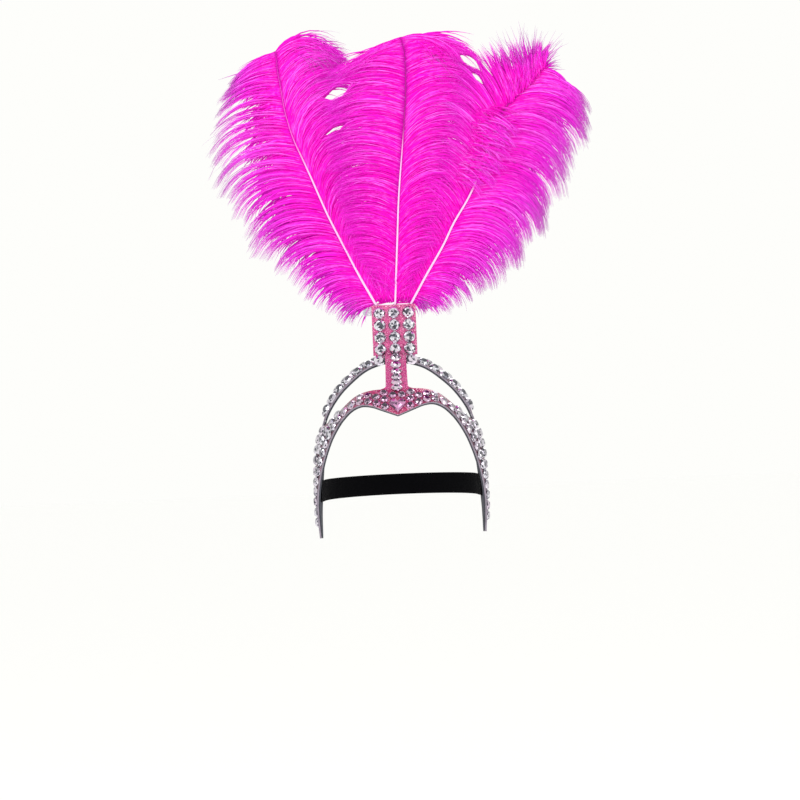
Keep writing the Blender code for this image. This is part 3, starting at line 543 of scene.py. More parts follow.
class PlumeSettings(bpy.types.PropertyGroup):
    barbs_per_side: IntProperty(
        name="Barbs", description="Barbs on one side of a quill, before each side's own share",
        default=2700, min=50, max=3000)
    barb_width: FloatProperty(
        name="Barb width", description="Width of a barb at its middle",
        default=0.0010, min=0.0002, max=0.005, unit="LENGTH")
    vane_depth: FloatProperty(
        name="Vane depth", description="Depth over which the barbs spread behind the quill",
        default=0.014, min=0.0, max=0.03, unit="LENGTH")
    seed: IntProperty(name="Seed", description="Seed of the barbs' lie", default=7, min=0)
    # Dye next to the quill, deepened there as painted shade among the barbs' roots
    root_dye_and_shade: colour_setting(
        "Root", "Dye next to the quill", (0.80, 0.003, 0.48))
    vane_colour: colour_setting(
        "Vane", "Dye in the middle of the vane", (0.70, 0.022, 0.62))
    # Colour of the painted highlight on the lighter barbs
    painted_highlight_colour: colour_setting(
        "Light strands", "Dye of the barbs that catch the light", (0.80, 0.15, 0.80))
    # Colour of the painted shade on the darker barbs and next to the quill
    painted_shade_colour: colour_setting(
        "Dark strands", "Dye of the barbs that lie deeper", (0.32, 0.006, 0.30))
    tip_colour: colour_setting(
        "Tips", "Greyed ends of the barbs", (0.40, 0.17, 0.41))
    quill_colour: colour_setting(
        "Quill", "Pale shaft near the plate", (0.96, 0.62, 0.88))
    quill_tip_colour: colour_setting(
        "Quill tip", "Shaft near the tip of the plume", (0.40, 0.008, 0.24))


class StrapSettings(bpy.types.PropertyGroup):
    rib_height: FloatProperty(
        name="Rib height", description="How far the elastic's cords stand out",
        default=0.00025, min=0.0, max=0.001, unit="LENGTH")
    colour: colour_setting(
        "Elastic", "Black elastic", (0.0015, 0.0015, 0.002))


class StageSettings(bpy.types.PropertyGroup):
    distance: FloatProperty(
        name="Distance", description="Camera to the middle of the headdress",
        default=2.2, min=0.5, max=10.0, unit="LENGTH")
    view_width: FloatProperty(
        name="View width", description="Width that the picture covers at the headdress",
        default=0.848, min=0.1, max=5.0, unit="LENGTH")
    roll: FloatProperty(
        name="Roll", description="Tilt of the camera about its view",
        default=math.radians(2.5), subtype="ANGLE")
    floor_height: FloatProperty(
        name="Floor", description="Height of the studio floor",
        default=-1.0, unit="LENGTH")
    backdrop_colour: colour_setting(
        "Backdrop", "Pale floor and surroundings", (0.99, 0.99, 0.965))


# Tables

def column(table, names, name):
    index = names.index(name)
    return [row[index] for row in table]


def points_of(table, names, *axes):
    return [Vector(values) for values in zip(*(column(table, names, axis) for axis in axes))]


def between(before, here, there, after, share):
    """A point between the middle two of four points on a smooth curve."""
    return 0.5 * (
        2 * here
        + (there - before) * share
        + (2 * before - 5 * here + 4 * there - after) * share ** 2
        + (3 * here - before - 3 * there + after) * share ** 3
    )


def smooth_at(points, place):
    """A point on the smooth curve through the points, with place counted in points."""
    last = len(points) - 1
    start = min(max(int(place), 0), last - 1)
    here, there = points[start], points[start + 1]
    before = points[start - 1] if start > 0 else here * 2 - there
    after = points[start + 2] if start + 2 <= last else there * 2 - here
    return between(before, here, there, after, min(max(place - start, 0.0), 1.0))


def smooth_with_corners(points, corners, place):
    """As smooth_at, but the curve may turn at the corners and runs straight between them."""
    stops = [0, *corners, len(points) - 1]
    for number, (start, end) in enumerate(zip(stops, stops[1:])):
        if place <= end:
            break
    if 0 < number < len(stops) - 2:
        part = min(int(place), end - 1)
        return points[part].lerp(points[part + 1], place - part)
    return smooth_at(points[start:end + 1], place - start)


def smooth_rows(rows, places):
    """smooth_at for many places at once."""
    rows = np.asarray(rows, dtype=float)
    start = np.clip(places.astype(int), 0, len(rows) - 2)
    longer = np.vstack([2 * rows[0] - rows[1], rows, 2 * rows[-1] - rows[-2]])
    share = np.clip(places - start, 0.0, 1.0)[:, None]
    return between(*(longer[start + step] for step in range(4)), share)


# Modelling

def deselect_all():
    for item in list(bpy.context.selected_objects):
        item.select_set(False)


def select_only(piece):
    deselect_all()
    piece.select_set(True)
    bpy.context.view_layer.objects.active = piece


def apply_modifiers(piece):
    select_only(piece)
    for modifier in list(piece.modifiers):
        bpy.ops.object.modifier_apply(modifier=modifier.name)


def new_piece(name, verts, faces):
    """A mesh object from points in millimetres."""
    data = bpy.data.meshes.new(name)
    data.from_pydata([tuple(vert) for vert in verts], [], faces)
    data.transform(Matrix.Scale(MM, 4))
    data.update()
    made = bpy.data.objects.new(name, data)
    bpy.context.scene.collection.objects.link(made)
    return made


def grid_faces(rows, columns, start=0):
    corners = (0, 1, columns + 1, columns)
    return [
        tuple(start + row * columns + step + corner for corner in corners)
        for row in range(rows - 1)
        for step in range(columns - 1)
    ]


def sheet_piece(name, grids):
    """An open sheet from grids of points, welded, with its faces turned away from the head."""
    verts, faces = [], []
    for grid in grids:
        faces += grid_faces(len(grid), len(grid[0]), len(verts))
        verts += [point for row in grid for point in row]
    piece = new_piece(name, verts, faces)
    select_only(piece)
    bpy.ops.object.mode_set(mode="EDIT")
    bpy.ops.mesh.select_all(action="SELECT")
    bpy.ops.mesh.remove_doubles(threshold=WELD)
    bpy.ops.mesh.normals_make_consistent(inside=False)
    bpy.ops.object.mode_set(mode="OBJECT")
    centre = HEAD_CENTRE * MM
    outward = sum(
        face.area * face.normal.dot(face.center - centre) for face in piece.data.polygons
    )
    if outward < 0:
        piece.data.flip_normals()
    return piece


def foam_piece(name, grids, foam, materials, inward=False, mirrored=False):
    """A foam sheet with its wall, its materials, the second on the cut edge, and rounded edges."""
    piece = sheet_piece(name, grids)
    for material in materials:
        piece.data.materials.append(material)
    if mirrored:
        mirror = piece.modifiers.new("Both sides", "MIRROR")
        mirror.use_clip = True
        mirror.merge_threshold = MIRROR_WELD
    wall = piece.modifiers.new("Wall", "SOLIDIFY")
    wall.thickness = foam.lining_thickness if inward else foam.facing_thickness
    wall.offset = -1.0 if inward else 1.0
    wall.use_even_offset = True
    wall.material_offset_rim = 1
    round_edges(piece, foam.edge_round, 2)
    return piece


def round_edges(piece, width, segments):
    """Bevels the sharp edges, applies what is open, and shades the round parts smooth."""
    edge = piece.modifiers.new("Edge", "BEVEL")
    edge.width = width
    edge.segments = segments
    edge.limit_method = "ANGLE"
    edge.angle_limit = EDGE_ANGLE
    apply_modifiers(piece)
    bpy.ops.object.shade_smooth_by_angle(angle=SMOOTH_ANGLE)


def store_values(piece, domain, **layers):
    """Values for the materials on the faces or points of a piece."""
    for label, values in layers.items():
        layer = piece.data.attributes.new(label, "FLOAT", domain)
        layer.data.foreach_set("value", values)


def finish_piece(piece, slot, *nodes, material=None):
    """Hands a finished piece to the frame, in place of the nodes that it stands for."""
    if material:
        piece.data.materials.append(material)
    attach(piece, "root")
    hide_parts(*nodes)


# Materials

def feed(tree, socket, value):
    """Links an input socket to another socket, or gives it a value of its own."""
    if isinstance(value, bpy.types.NodeSocket):
        tree.links.new(value, socket)
    else:
        socket.default_value = value


def add_node(tree, kind, values=(), **settings):
    """A node with its settings, and what feeds its input sockets, by name or number."""
    node = tree.nodes.new(kind)
    for name, value in settings.items():
        setattr(node, name, value)
    for name, value in dict(values).items():
        feed(tree, node.inputs[name], value)
    return node


def object_place(tree, axis=None):
    """The place on the piece, or one coordinate of it."""
    place = add_node(tree, "ShaderNodeTexCoord").outputs["Object"]
    return add_node(tree, "ShaderNodeSeparateXYZ", {0: place}).outputs[axis] if axis else place


def add_noise(tree, place, scale, detail):
    values = {"Vector": place, "Scale": scale, "Detail": detail}
    return add_node(tree, "ShaderNodeTexNoise", values).outputs[0]


def add_cells(tree, scale):
    values = {"Vector": object_place(tree), "Scale": scale}
    return add_node(tree, "ShaderNodeTexVoronoi", values).outputs


def read_attribute(tree, name):
    return add_node(tree, "ShaderNodeAttribute", attribute_name=name).outputs["Fac"]


def add_ramp(tree, factor, stops):
    node = add_node(tree, "ShaderNodeValToRGB", {0: factor})
    ramp = node.color_ramp
    while len(ramp.elements) < len(stops):
        ramp.elements.new(1.0)
    for element, (place, colour) in zip(ramp.elements, stops):
        element.position = place
        element.color = (*colour, 1.0)
    return node.outputs["Color"]


def mix_colours(tree, factor, first, second, blend="MIX"):
    first, second = (
        value if isinstance(value, bpy.types.NodeSocket) else (*value, 1.0)
        for value in (first, second)
    )
    values = {0: factor, 6: first, 7: second}
    return add_node(tree, "ShaderNodeMix", values, data_type="RGBA", blend_type=blend).outputs[2]


def shade_colour(tree, colour, shade):
    return mix_colours(tree, 1.0, colour, shade, "MULTIPLY")


def scale_value(tree, value, low, high, to_low, to_high):
    values = {0: value, 1: low, 2: high, 3: to_low, 4: to_high}
    return add_node(tree, "ShaderNodeMapRange", values).outputs[0]


def add_math(tree, kind, operation, first, second):
    values = {0: first, "Scale" if operation == "SCALE" else 1: second}
    return add_node(tree, f"ShaderNode{kind}", values, operation=operation).outputs[0]


def new_group(name, inputs, outputs):
    """A shader node group with its sockets, and the two nodes that carry them."""
    tree = bpy.data.node_groups.new(name, "ShaderNodeTree")
    for label, value in inputs.items():
        kind = "NodeSocketColor" if isinstance(value, tuple) else "NodeSocketFloat"
        socket = tree.interface.new_socket(label, in_out="INPUT", socket_type=kind)
        socket.default_value = value
    for label, kind in outputs.items():
        tree.interface.new_socket(label, in_out="OUTPUT", socket_type=f"NodeSocket{kind}")
    return tree, tree.nodes.new("NodeGroupInput"), tree.nodes.new("NodeGroupOutput")


def close_group(tree, end, **outputs):
    for label, value in outputs.items():
        tree.links.new(value, end.inputs[label])
    return tree


def use_group(tree, name, make, **values):
    """A node group with values of its own; the group is made where it is first used."""
    group = bpy.data.node_groups.get(name) or make()
    node = add_node(tree, "ShaderNodeGroup", node_tree=group)
    for label, value in values.items():
        own = value if isinstance(value, float) else (*value, 1.0)
        node.inputs[label.replace("_", " ")].default_value = own
    return node


def new_material(name, **values):
    made = bpy.data.materials.new(name)
    made.use_nodes = True
    shader = made.node_tree.nodes["Principled BSDF"]
    for label, value in values.items():
        shader.inputs[label.replace("_", " ")].default_value = value
    return made, made.node_tree, shader


def dress(tree, group, shader, **sockets):
    """Links a group's outputs to the sockets of a shader."""
    for label, into in sockets.items():
        tree.links.new(group.outputs[label], shader.inputs[into])


def add_bump(tree, height, shader, strength, distance):
    values = {"Strength": strength, "Distance": distance, "Height": height}
    bump = add_node(tree, "ShaderNodeBump", values)
    tree.links.new(bump.outputs[0], shader.inputs["Normal"])


def glitter_group():
    """Flakes of glitter: each one its own brightness, gloss and tilt, with painted glints on the
    brightest and on a few pale ones.
    """
    tree, start, end = new_group(
        "Glitter flakes",
        {"Colour": (0.7, 0.1, 0.3, 1.0), "Flakes per metre": 1600.0, "Tilt": 0.5},
        {"Colour": "Color", "Roughness": "Float", "Normal": "Vector"},
    )
    flake = add_cells(tree, start.outputs["Flakes per metre"])["Color"]
    light, spark, gloss = add_node(tree, "ShaderNodeSeparateColor", {0: flake}).outputs
    # Each flake's own brightness; the top of the ramp, brighter than the foam, is painted glint
    bright = add_ramp(tree, light, (
        (0.0, (0.42, 0.38, 0.42)), (0.45, (0.86, 0.82, 0.86)),
        (0.85, (1.25, 1.2, 1.25)), (1.0, (1.7, 1.7, 1.7)),
    ))
    flaked = shade_colour(tree, start.outputs["Colour"], bright)
    # A few flakes turn pale pink: a painted glint
    painted_glint = scale_value(tree, spark, 0.90, 0.94, 0.0, 0.75)
    colour = mix_colours(tree, painted_glint, flaked, (1.0, 0.72, 0.86))
    rough = scale_value(tree, gloss, 0.0, 1.0, 0.22, 0.62)
    lean = add_math(tree, "VectorMath", "SUBTRACT", flake, (0.5, 0.5, 0.5))
    lean = add_math(tree, "VectorMath", "SCALE", lean, start.outputs["Tilt"])
    surface = add_node(tree, "ShaderNodeNewGeometry").outputs["Normal"]
    tilted = add_math(tree, "VectorMath", "ADD", surface, lean)
    unit = add_node(tree, "ShaderNodeVectorMath", {0: tilted}, operation="NORMALIZE").outputs[0]
    return close_group(tree, end, Colour=colour, Roughness=rough, Normal=unit)


def foam_group():
    """Fine pores and soft mottling of cut or skinned foam."""
    tree, start, end = new_group(
        "Foam pores", {"Colour": (0.1, 0.1, 0.1, 1.0), "Pores per metre": 2500.0},
        {"Colour": "Color", "Height": "Float"},
    )
    pores = add_cells(tree, start.outputs["Pores per metre"])["Distance"]
    mottle = add_noise(tree, object_place(tree), 160.0, 4.0)
    shade = add_ramp(tree, mottle, ((0.3, (0.78, 0.78, 0.8)), (0.7, (1.18, 1.18, 1.2))))
    colour = shade_colour(tree, start.outputs["Colour"], shade)
    return close_group(tree, end, Colour=colour, Height=pores)


def facet_group():
    """Painted reflections of foil-backed facets: some painted dark, some light, and a tint turned
    towards the painted pink reflection of the foam.
    """
    tree, start, end = new_group(
        "Stone facets", {"Tint": (1.0, 1.0, 1.0, 1.0), "Blush": (1.0, 0.8, 0.9, 1.0)},
        {"Colour": "Color", "Roughness": "Float"},
    )
    facet = read_attribute(tree, "facet")
    shade = add_ramp(tree, facet, (
        (0.0, (0.035, 0.04, 0.055)), (0.16, (0.12, 0.12, 0.15)), (0.34, (0.42, 0.41, 0.47)),
        (0.60, (0.80, 0.79, 0.84)), (1.0, (1.0, 1.0, 1.0)),
    ))
    blush = read_attribute(tree, "blush")
    # The stone's tint turns towards the painted pink reflection of the foam
    tint = mix_colours(tree, blush, start.outputs["Tint"], start.outputs["Blush"])
    colour = shade_colour(tree, shade, tint)
    rough = scale_value(tree, facet, 0.0, 1.0, 0.14, 0.05)
    return close_group(tree, end, Colour=colour, Roughness=rough)


def feather_group():
    """Dye along a barb to its greyed tip, with painted light and shade: lighter and darker strands,
    shade that grows away from the quill, and a painted shadow along the quill.
    """
    tree, start, end = new_group(
        "Dyed barbs with painted light",
        {"Root": (1.0, 0.0, 0.4, 1.0), "Vane": (1.0, 0.05, 0.6, 1.0), "Tip": (0.4, 0.2, 0.4, 1.0),
         "Light strand": (1.0, 0.2, 0.8, 1.0), "Dark strand": (0.4, 0.02, 0.4, 1.0)},
        {"Colour": "Color"},
    )
    root, vane, tip, light, dark = start.outputs[:5]
    across, shade, length, strand = (
        read_attribute(tree, name) for name in ("across", "shade", "length", "strand")
    )
    place = add_node(tree, "ShaderNodeCombineXYZ", {
        0: scale_value(tree, length, 0.0, 1.0, 0.0, 7.0),
        1: scale_value(tree, strand, 0.0, 1.0, 0.0, 90.0),
    })
    # Noise along each barb that varies its painted light and shade
    shade_noise = add_noise(tree, place.outputs[0], 1.0, 2.0)
    swing = scale_value(tree, shade_noise, 0.25, 0.75, -0.24, 0.24)
    light_and_shade = add_math(tree, "Math", "ADD", shade, swing)
    # The root's dye, deepened as painted shade, turns to the vane's dye away from the quill
    coloured = mix_colours(tree, scale_value(tree, across, 0.05, 0.6, 0.0, 1.0), root, vane)
    # Painted highlight on the lighter barbs, painted shade on the darker ones that grows away from
    # the quill, and a painted shadow next to the quill
    pale = scale_value(tree, light_and_shade, 0.55, 1.0, 0.0, 0.9)
    darkest = scale_value(tree, across, 0.1, 0.7, 0.45, 0.95)
    deep = scale_value(tree, light_and_shade, 0.42, 0.0, 0.0, darkest)
    painted_quill_shadow = scale_value(tree, across, 0.0, 0.035, 0.5, 0.0)
    greyed = scale_value(tree, across, 0.55, 0.98, 0.0, 1.0)
    for amount, colour in ((pale, light), (deep, dark), (painted_quill_shadow, dark), (greyed, tip)):
        coloured = mix_colours(tree, amount, coloured, colour)
    return close_group(tree, end, Colour=coloured)


def weave_group():
    """Cross threads between the cords of a woven elastic, along its own map."""
    tree, start, end = new_group(
        "Elastic weave", {"Colour": (0.01, 0.01, 0.01, 1.0), "Threads per metre": 900.0},
        {"Colour": "Color", "Height": "Float"},
    )
    place = add_node(tree, "ShaderNodeUVMap", uv_map="weave").outputs[0]
    threads = add_node(tree, "ShaderNodeTexWave", {
        "Vector": place, "Scale": start.outputs["Threads per metre"],
        "Distortion": 0.6, "Detail": 1.0,
    }, bands_direction="X").outputs["Fac"]
    shade = add_ramp(tree, threads, ((0.0, (0.6, 0.6, 0.6)), (1.0, (1.6, 1.6, 1.65))))
    colour = shade_colour(tree, start.outputs["Colour"], shade)
    return close_group(tree, end, Colour=colour, Height=threads)


def glitter_material(name, colour, flake, side_colour=None):
    """Glitter foam, which may turn to a second colour towards the sides of the head."""
    made, tree, shader = new_material(name, Metallic=0.35, Specular_IOR_Level=0.6)
    flakes = use_group(
        tree, "Glitter flakes", glitter_group, Colour=colour, Flakes_per_metre=1 / flake
    )
    if side_colour:
        side = {0: object_place(tree, "X")}
        outward = add_node(tree, "ShaderNodeMath", side, operation="ABSOLUTE").outputs[0]
        mask = scale_value(tree, outward, *SIDE_COLOUR_FROM, 0.0, 1.0)
        tree.links.new(mix_colours(tree, mask, colour, side_colour), flakes.inputs["Colour"])
    dress(tree, flakes, shader, Colour="Base Color", Roughness="Roughness", Normal="Normal")
    return made


def foam_material(name, colour):
    made, tree, shader = new_material(name, Roughness=0.82)
    pores = use_group(tree, "Foam pores", foam_group, Colour=colour)
    dress(tree, pores, shader, Colour="Base Color")
    add_bump(tree, pores.outputs["Height"], shader, 0.25, 0.0002)
    return made


def stone_material(name, tint, blush):
    made, tree, shader = new_material(name, Metallic=0.9, Coat_Weight=0.6, Coat_Roughness=0.03)
    facets = use_group(tree, "Stone facets", facet_group, Tint=tint, Blush=blush)
    dress(tree, facets, shader, Colour="Base Color", Roughness="Roughness")
    return made


def quill_material(name, pale, coloured):
    """Horn of a quill, pale near the plate and dyed further up, with fine streaks."""
    made, tree, shader = new_material(name, Roughness=0.5, Specular_IOR_Level=0.2)
    height = scale_value(tree, object_place(tree, "Z"), *QUILL_DYED_FROM, 0.0, 1.0)
    horn = add_ramp(tree, height, (
        (0.0, pale), (0.52, (0.95, 0.55, 0.84)), (0.63, (0.86, 0.28, 0.66)), *coloured
    ))
    streaks = add_noise(tree, object_place(tree), 900.0, 2.0)
    worn = add_ramp(tree, streaks, ((0.3, (0.86, 0.80, 0.86)), (0.7, (1.05, 1.05, 1.05))))
    tree.links.new(shade_colour(tree, horn, worn), shader.inputs["Base Color"])
    return made


def feather_material(plumes):
    # The dye also glows at a quarter strength: painted light that lifts the feathers' shade
    made, tree, shader = new_material(
        "dyed_feather_with_glow", Roughness=0.75, Specular_IOR_Level=0.08, Emission_Strength=0.25
    )
    dye = use_group(
        tree, "Dyed barbs with painted light", feather_group, Root=plumes.root_dye_and_shade, Vane=plumes.vane_colour,
        Tip=plumes.tip_colour, Light_strand=plumes.painted_highlight_colour,
        Dark_strand=plumes.painted_shade_colour,
    )
    for socket in ("Base Color", "Emission Color"):
        tree.links.new(dye.outputs["Colour"], shader.inputs[socket])
    return made


def film_material():
    made, tree, shader = new_material("clear_film", Roughness=0.25, Transmission_Weight=0.35)
    wrinkle = add_noise(tree, object_place(tree), 220.0, 3.0)
    # Greyer in the film's wrinkles: painted shade
    shade = add_ramp(tree, wrinkle, ((0.38, (0.56, 0.56, 0.62)), (0.6, (0.93, 0.93, 0.95))))
    tree.links.new(shade, shader.inputs["Base Color"])
    add_bump(tree, wrinkle, shader, 0.5, 0.0006)
    return made


def elastic_material(colour):
    made, tree, shader = new_material("woven_elastic", Roughness=0.9, Specular_IOR_Level=0.05)
    weave = use_group(tree, "Elastic weave", weave_group, Colour=colour)
    dress(tree, weave, shader, Colour="Base Color")
    add_bump(tree, weave.outputs["Height"], shader, 0.4, 0.0003)
    return made


# The foam's surfaces

def band_edges(place):
    lower = points_of(BAND_SECTIONS, BAND_COLUMNS, "lower_x", "lower_y", "lower_z")
    upper = points_of(BAND_SECTIONS, BAND_COLUMNS, "upper_x", "upper_y", "upper_z")
    return smooth_at(lower, place), smooth_with_corners(upper, UPPER_CORNERS, place)


def band_base(place, across):
    """A point of the band's bent surface, across from 0 at its lower to 1 at its upper edge."""
    lower, upper = band_edges(place)
    chord = upper - lower
    outward = (lower + upper) / 2 - HEAD_CENTRE
    outward -= outward.project(chord)
    crown = 4 * across * (1 - across) * chord.length_squared / (8 * HEAD_RADIUS)
    point = lower + chord * across + outward.normalized() * crown
    if place == 0:
        point.x = 0.0
    return point


def band_normal(place, across):
    step = 0.02
    along = band_base(min(place + step, len(BAND_SECTIONS) - 1), across)
    along -= band_base(max(place - step, 0.0), across)
    over = band_base(place, min(across + step, 1.0)) - band_base(place, max(across - step, 0.0))
    normal = along.cross(over).normalized()
    if normal.dot(band_base(place, across) - HEAD_CENTRE) < 0:
        normal.negate()
    if place == 0:
        normal.x = 0.0
        normal.normalize()
    return normal


def band_point(place, across, lift):
    return band_base(place, across) + band_normal(place, across) * lift


def band_places():
    first = [index / BAND_STEPS_FIRST for index in range(BAND_STEPS_FIRST)]
    count = (len(BAND_SECTIONS) - 2) * BAND_STEPS_EACH + 1
    return first + [1 + index / BAND_STEPS_EACH for index in range(count)]


def stem_base(place):
    path = points_of(STEM_SECTIONS, STEM_COLUMNS, "y", "z", "half_width")
    found = smooth_at(path, place)
    return Vector((0.0, found.x, found.y)), found.z


def stem_normal(place):
    step = 0.05
    last = len(STEM_SECTIONS) - 1
    ahead = stem_base(min(place + step, last))[0]
    behind = stem_base(max(place - step, 0.0))[0]
    direction = (ahead - behind).normalized()
    return Vector((0.0, -direction.z, direction.y))


def stem_point_at(length):
    """The middle of the stem and its normal at a length along it from the brow."""
    steps = 400
    last = len(STEM_SECTIONS) - 1
    before = stem_base(0.0)[0]
    walked = 0.0
    for index in range(1, steps + 1):
        place = last * index / steps
        point = stem_base(place)[0]
        walked += (point - before).length
        if walked >= length:
            return point, stem_normal(place)
        before = point
    return before, stem_normal(last)


def stem_seat(length, radius, facing):
    """A seat for a flat-backed stone on the stem, high enough to clear the bend under its rim."""
    middle = stem_point_at(length)[0]
    behind = stem_point_at(max(length - radius, 0.0))[0]
    ahead = stem_point_at(length + radius)[0]
    chord = (ahead - behind).normalized()
    normal = Vector((0.0, -chord.z, chord.y))
    rise = max((point - middle).dot(normal) for point in (behind, middle, ahead))
    return middle + normal * (facing + rise * STEM_BEND_CLEAR), normal


def frame_half_grids(lift):
    """The left half of the brow band, its guard and the stem, at a lift off the bent surface."""
    band = [
        [band_point(place, step / BAND_STEPS_ACROSS, lift) for step in range(BAND_STEPS_ACROSS + 1)]
        for place in band_places()
    ]
    stem_foot = [band[index][-1] for index in range(BAND_STEPS_FIRST + 1)]
    stem = [stem_foot]
    steps = 3
    for index in range(1, (len(STEM_SECTIONS) - 1) * steps + 1):
        place = index / steps
        middle, half_width = stem_base(place)
        normal = stem_normal(place)
        drop = (stem_foot[-1] - stem_foot[0]) / max(place, 1.0) ** 2
        stem.append([
            middle + normal * lift
            + Vector((-half_width * step / BAND_STEPS_FIRST, 0.0, 0.0))
            + Vector((0.0, drop.y, drop.z)) * (step / BAND_STEPS_FIRST)
            for step in range(BAND_STEPS_FIRST + 1)
        ])
    return [band, stem]


def arch_centre(place):
    """The arch's centre line and its lean, from -10 at the left end over 0 at the top to 10."""
    path = points_of(ARCH_SECTIONS, ARCH_COLUMNS, "x", "z", "lean")
    mirrored = [Vector((-point.x, point.y, point.z)) for point in reversed(path[1:])]
    found = smooth_at(mirrored + path, place + len(path) - 1)
    return Vector((found.x, 0.0, found.y)), math.radians(found.z)


def arch_point(place, across, lift):
    """A point of the arch, across from -1 at its front edge to 1 at its rear edge."""
    last = len(ARCH_SECTIONS) - 1
    middle, lean = arch_centre(place)
    step = 0.05
    direction = arch_centre(min(place + step, last))[0] - arch_centre(max(place - step, -last))[0]
    outward = Vector((-direction.z, 0.0, direction.x)).normalized()
    back = Vector((0.0, math.cos(lean), 0.0)) + outward * math.sin(lean)
    up = outward * math.cos(lean) - Vector((0.0, math.sin(lean), 0.0))
    return middle + back * (across * ARCH_WIDTH / 2) + up * lift, up


def arch_grid(lift):
    last = (len(ARCH_SECTIONS) - 1) * ARCH_STEPS_EACH
    across = [2 * step / ARCH_STEPS_ACROSS - 1 for step in range(ARCH_STEPS_ACROSS + 1)]
    return [
        [arch_point(index / ARCH_STEPS_EACH, step, lift)[0] for step in across]
        for index in range(-last, last + 1)
    ]


# Stone seats

def heart_seat():
    return band_base(0.0, HEART_LIFT), band_normal(0.0, HEART_LIFT)


def band_stone_seats():
    """Rows of stones along the lower edge of the band's left half, as far as they fit."""
    seats = []
    heart_at = heart_seat()[0]
    foot_of_stem = stem_point_at(STEM_STONE_START)[0]
    last = len(BAND_SECTIONS) - 1
    others = [(heart_at, None, HEART_HALF_WIDTH), (foot_of_stem, None, STEM_STONE)]
    for row in range(STONE_ROWS_MOST):
        for index in range(last * SEAT_STEPS + 1):
            place = index / SEAT_STEPS
            lower, upper = band_edges(place)
            width = (upper - lower).length
            radius = BROW_STONE if lower.x > GUARD_STONE_FROM_X else GUARD_STONE
            edge = radius + BAND_MARGIN
            up = edge + row * (2 * radius + STONE_SPACE)
            if up > width - edge:
                continue
            point = band_base(place, up / width)
            if point.x <= -(radius + STONE_SPACE / 2) and all(
                (point - other).length >= radius + size + STONE_SPACE
                for other, _, size in others + seats
            ):
                seats.append((point, band_normal(place, up / width), radius))
    return seats


def arch_stone_seats():
    """Two rows along the right half of the arch, the front one clear of the stem and the slab."""
    seats = []
    last = len(ARCH_SECTIONS) - 1
    row_at = (ARCH_STONE + STONE_SPACE / 2) / (ARCH_WIDTH / 2)
    tilt = math.tan(math.radians(ARCH_STONE_LEAN))
    for across, from_x, lean, lift in (
        (-row_at, ARCH_FRONT_FROM_X, tilt, ARCH_STONE_LIFT), (row_at, ARCH_REAR_FROM_X, 0.0, 0.0)
    ):
        before = None
        end = arch_point(last, across, 0.0)[0]
        for index in range(last * SEAT_STEPS + 1):
            place = index / SEAT_STEPS
            point, normal = arch_point(place, across, 0.0)
            if point.x < from_x or (point - end).length < ARCH_STONE + STONE_SPACE / 2:
                continue
            if before is None or (point - before).length >= 2 * ARCH_STONE + STONE_SPACE:
                front, rear = (arch_point(place, edge, 0.0)[0] for edge in (-1.0, 1.0))
                facing = normal + (front - rear).normalized() * lean
                seats.append((point + normal * lift, facing.normalized(), ARCH_STONE))
                before = point
    return seats


def corner_stone_seat(facing):
    """The stone on the arch's front edge beside the foot of the plate."""
    corner, _ = arch_point(CORNER_STONE_PLACE, -1.0, facing)
    lean = math.radians(CORNER_STONE_LEAN)
    front = Vector((0.0, -math.cos(lean), math.sin(lean)))
    corner.x = CORNER_STONE_X
    corner.z += CORNER_STONE_RAISE
    return corner, front, CORNER_STONE


def both_sides(seats):
    flip = Matrix.Diagonal((-1.0, 1.0, 1.0))
    return seats + [(flip @ point, flip @ normal, radius) for point, normal, radius in seats]


# Stones

def cut_stone():
    """A round flat-backed stone of radius 1 with kite and star facets and a table in sectors."""
    deselect_all()
    for corners, radius, height, turn in STONE_RINGS:
        bpy.ops.mesh.primitive_circle_add(
            vertices=corners, radius=radius, location=(0, 0, height),
            rotation=(0, 0, math.radians(turn)),
        )
        stone = bpy.context.active_object
        bpy.ops.object.mode_set(mode="EDIT")
    bpy.ops.mesh.select_all(action="SELECT")
    bpy.ops.mesh.convex_hull(join_triangles=False)
    bpy.ops.mesh.select_all(action="SELECT")
    bpy.ops.mesh.dissolve_limited(angle_limit=math.radians(1.0))
    bpy.ops.mesh.select_all(action="DESELECT")
    bpy.ops.object.mode_set(mode="OBJECT")
    top = max(face.center.z for face in stone.data.polygons)
    for face in stone.data.polygons:
        face.select = face.center.z > top - TABLE_DEPTH
    bpy.ops.object.mode_set(mode="EDIT")
    bpy.ops.mesh.select_mode(type="FACE")
    bpy.ops.mesh.poke()
    bpy.ops.mesh.select_all(action="SELECT")
    bpy.ops.mesh.normals_make_consistent(inside=False)
    bpy.ops.object.mode_set(mode="OBJECT")
    verts = np.array([vert.co[:] for vert in stone.data.vertices])
    faces = [tuple(face.vertices) for face in stone.data.polygons]
    bpy.data.objects.remove(stone, do_unlink=True)
    return verts, faces


def facet_values(verts, faces, rng, painted_dark_share):
    """Painted reflections: how much light each facet of one stone throws back; the table's sectors
    vary the most.
    """
    values = []
    for face in faces:
        reach = np.hypot(*verts[list(face)][:, :2].mean(axis=0))
        darker, light = (
            (TABLE_DARKER, TABLE_LIGHT) if reach < TABLE_REACH else (CROWN_DARKER, CROWN_LIGHT)
        )
        dark = rng.random() < painted_dark_share * darker
        values.append(rng.uniform(*(DARK_LIGHT if dark else light)))
    return values


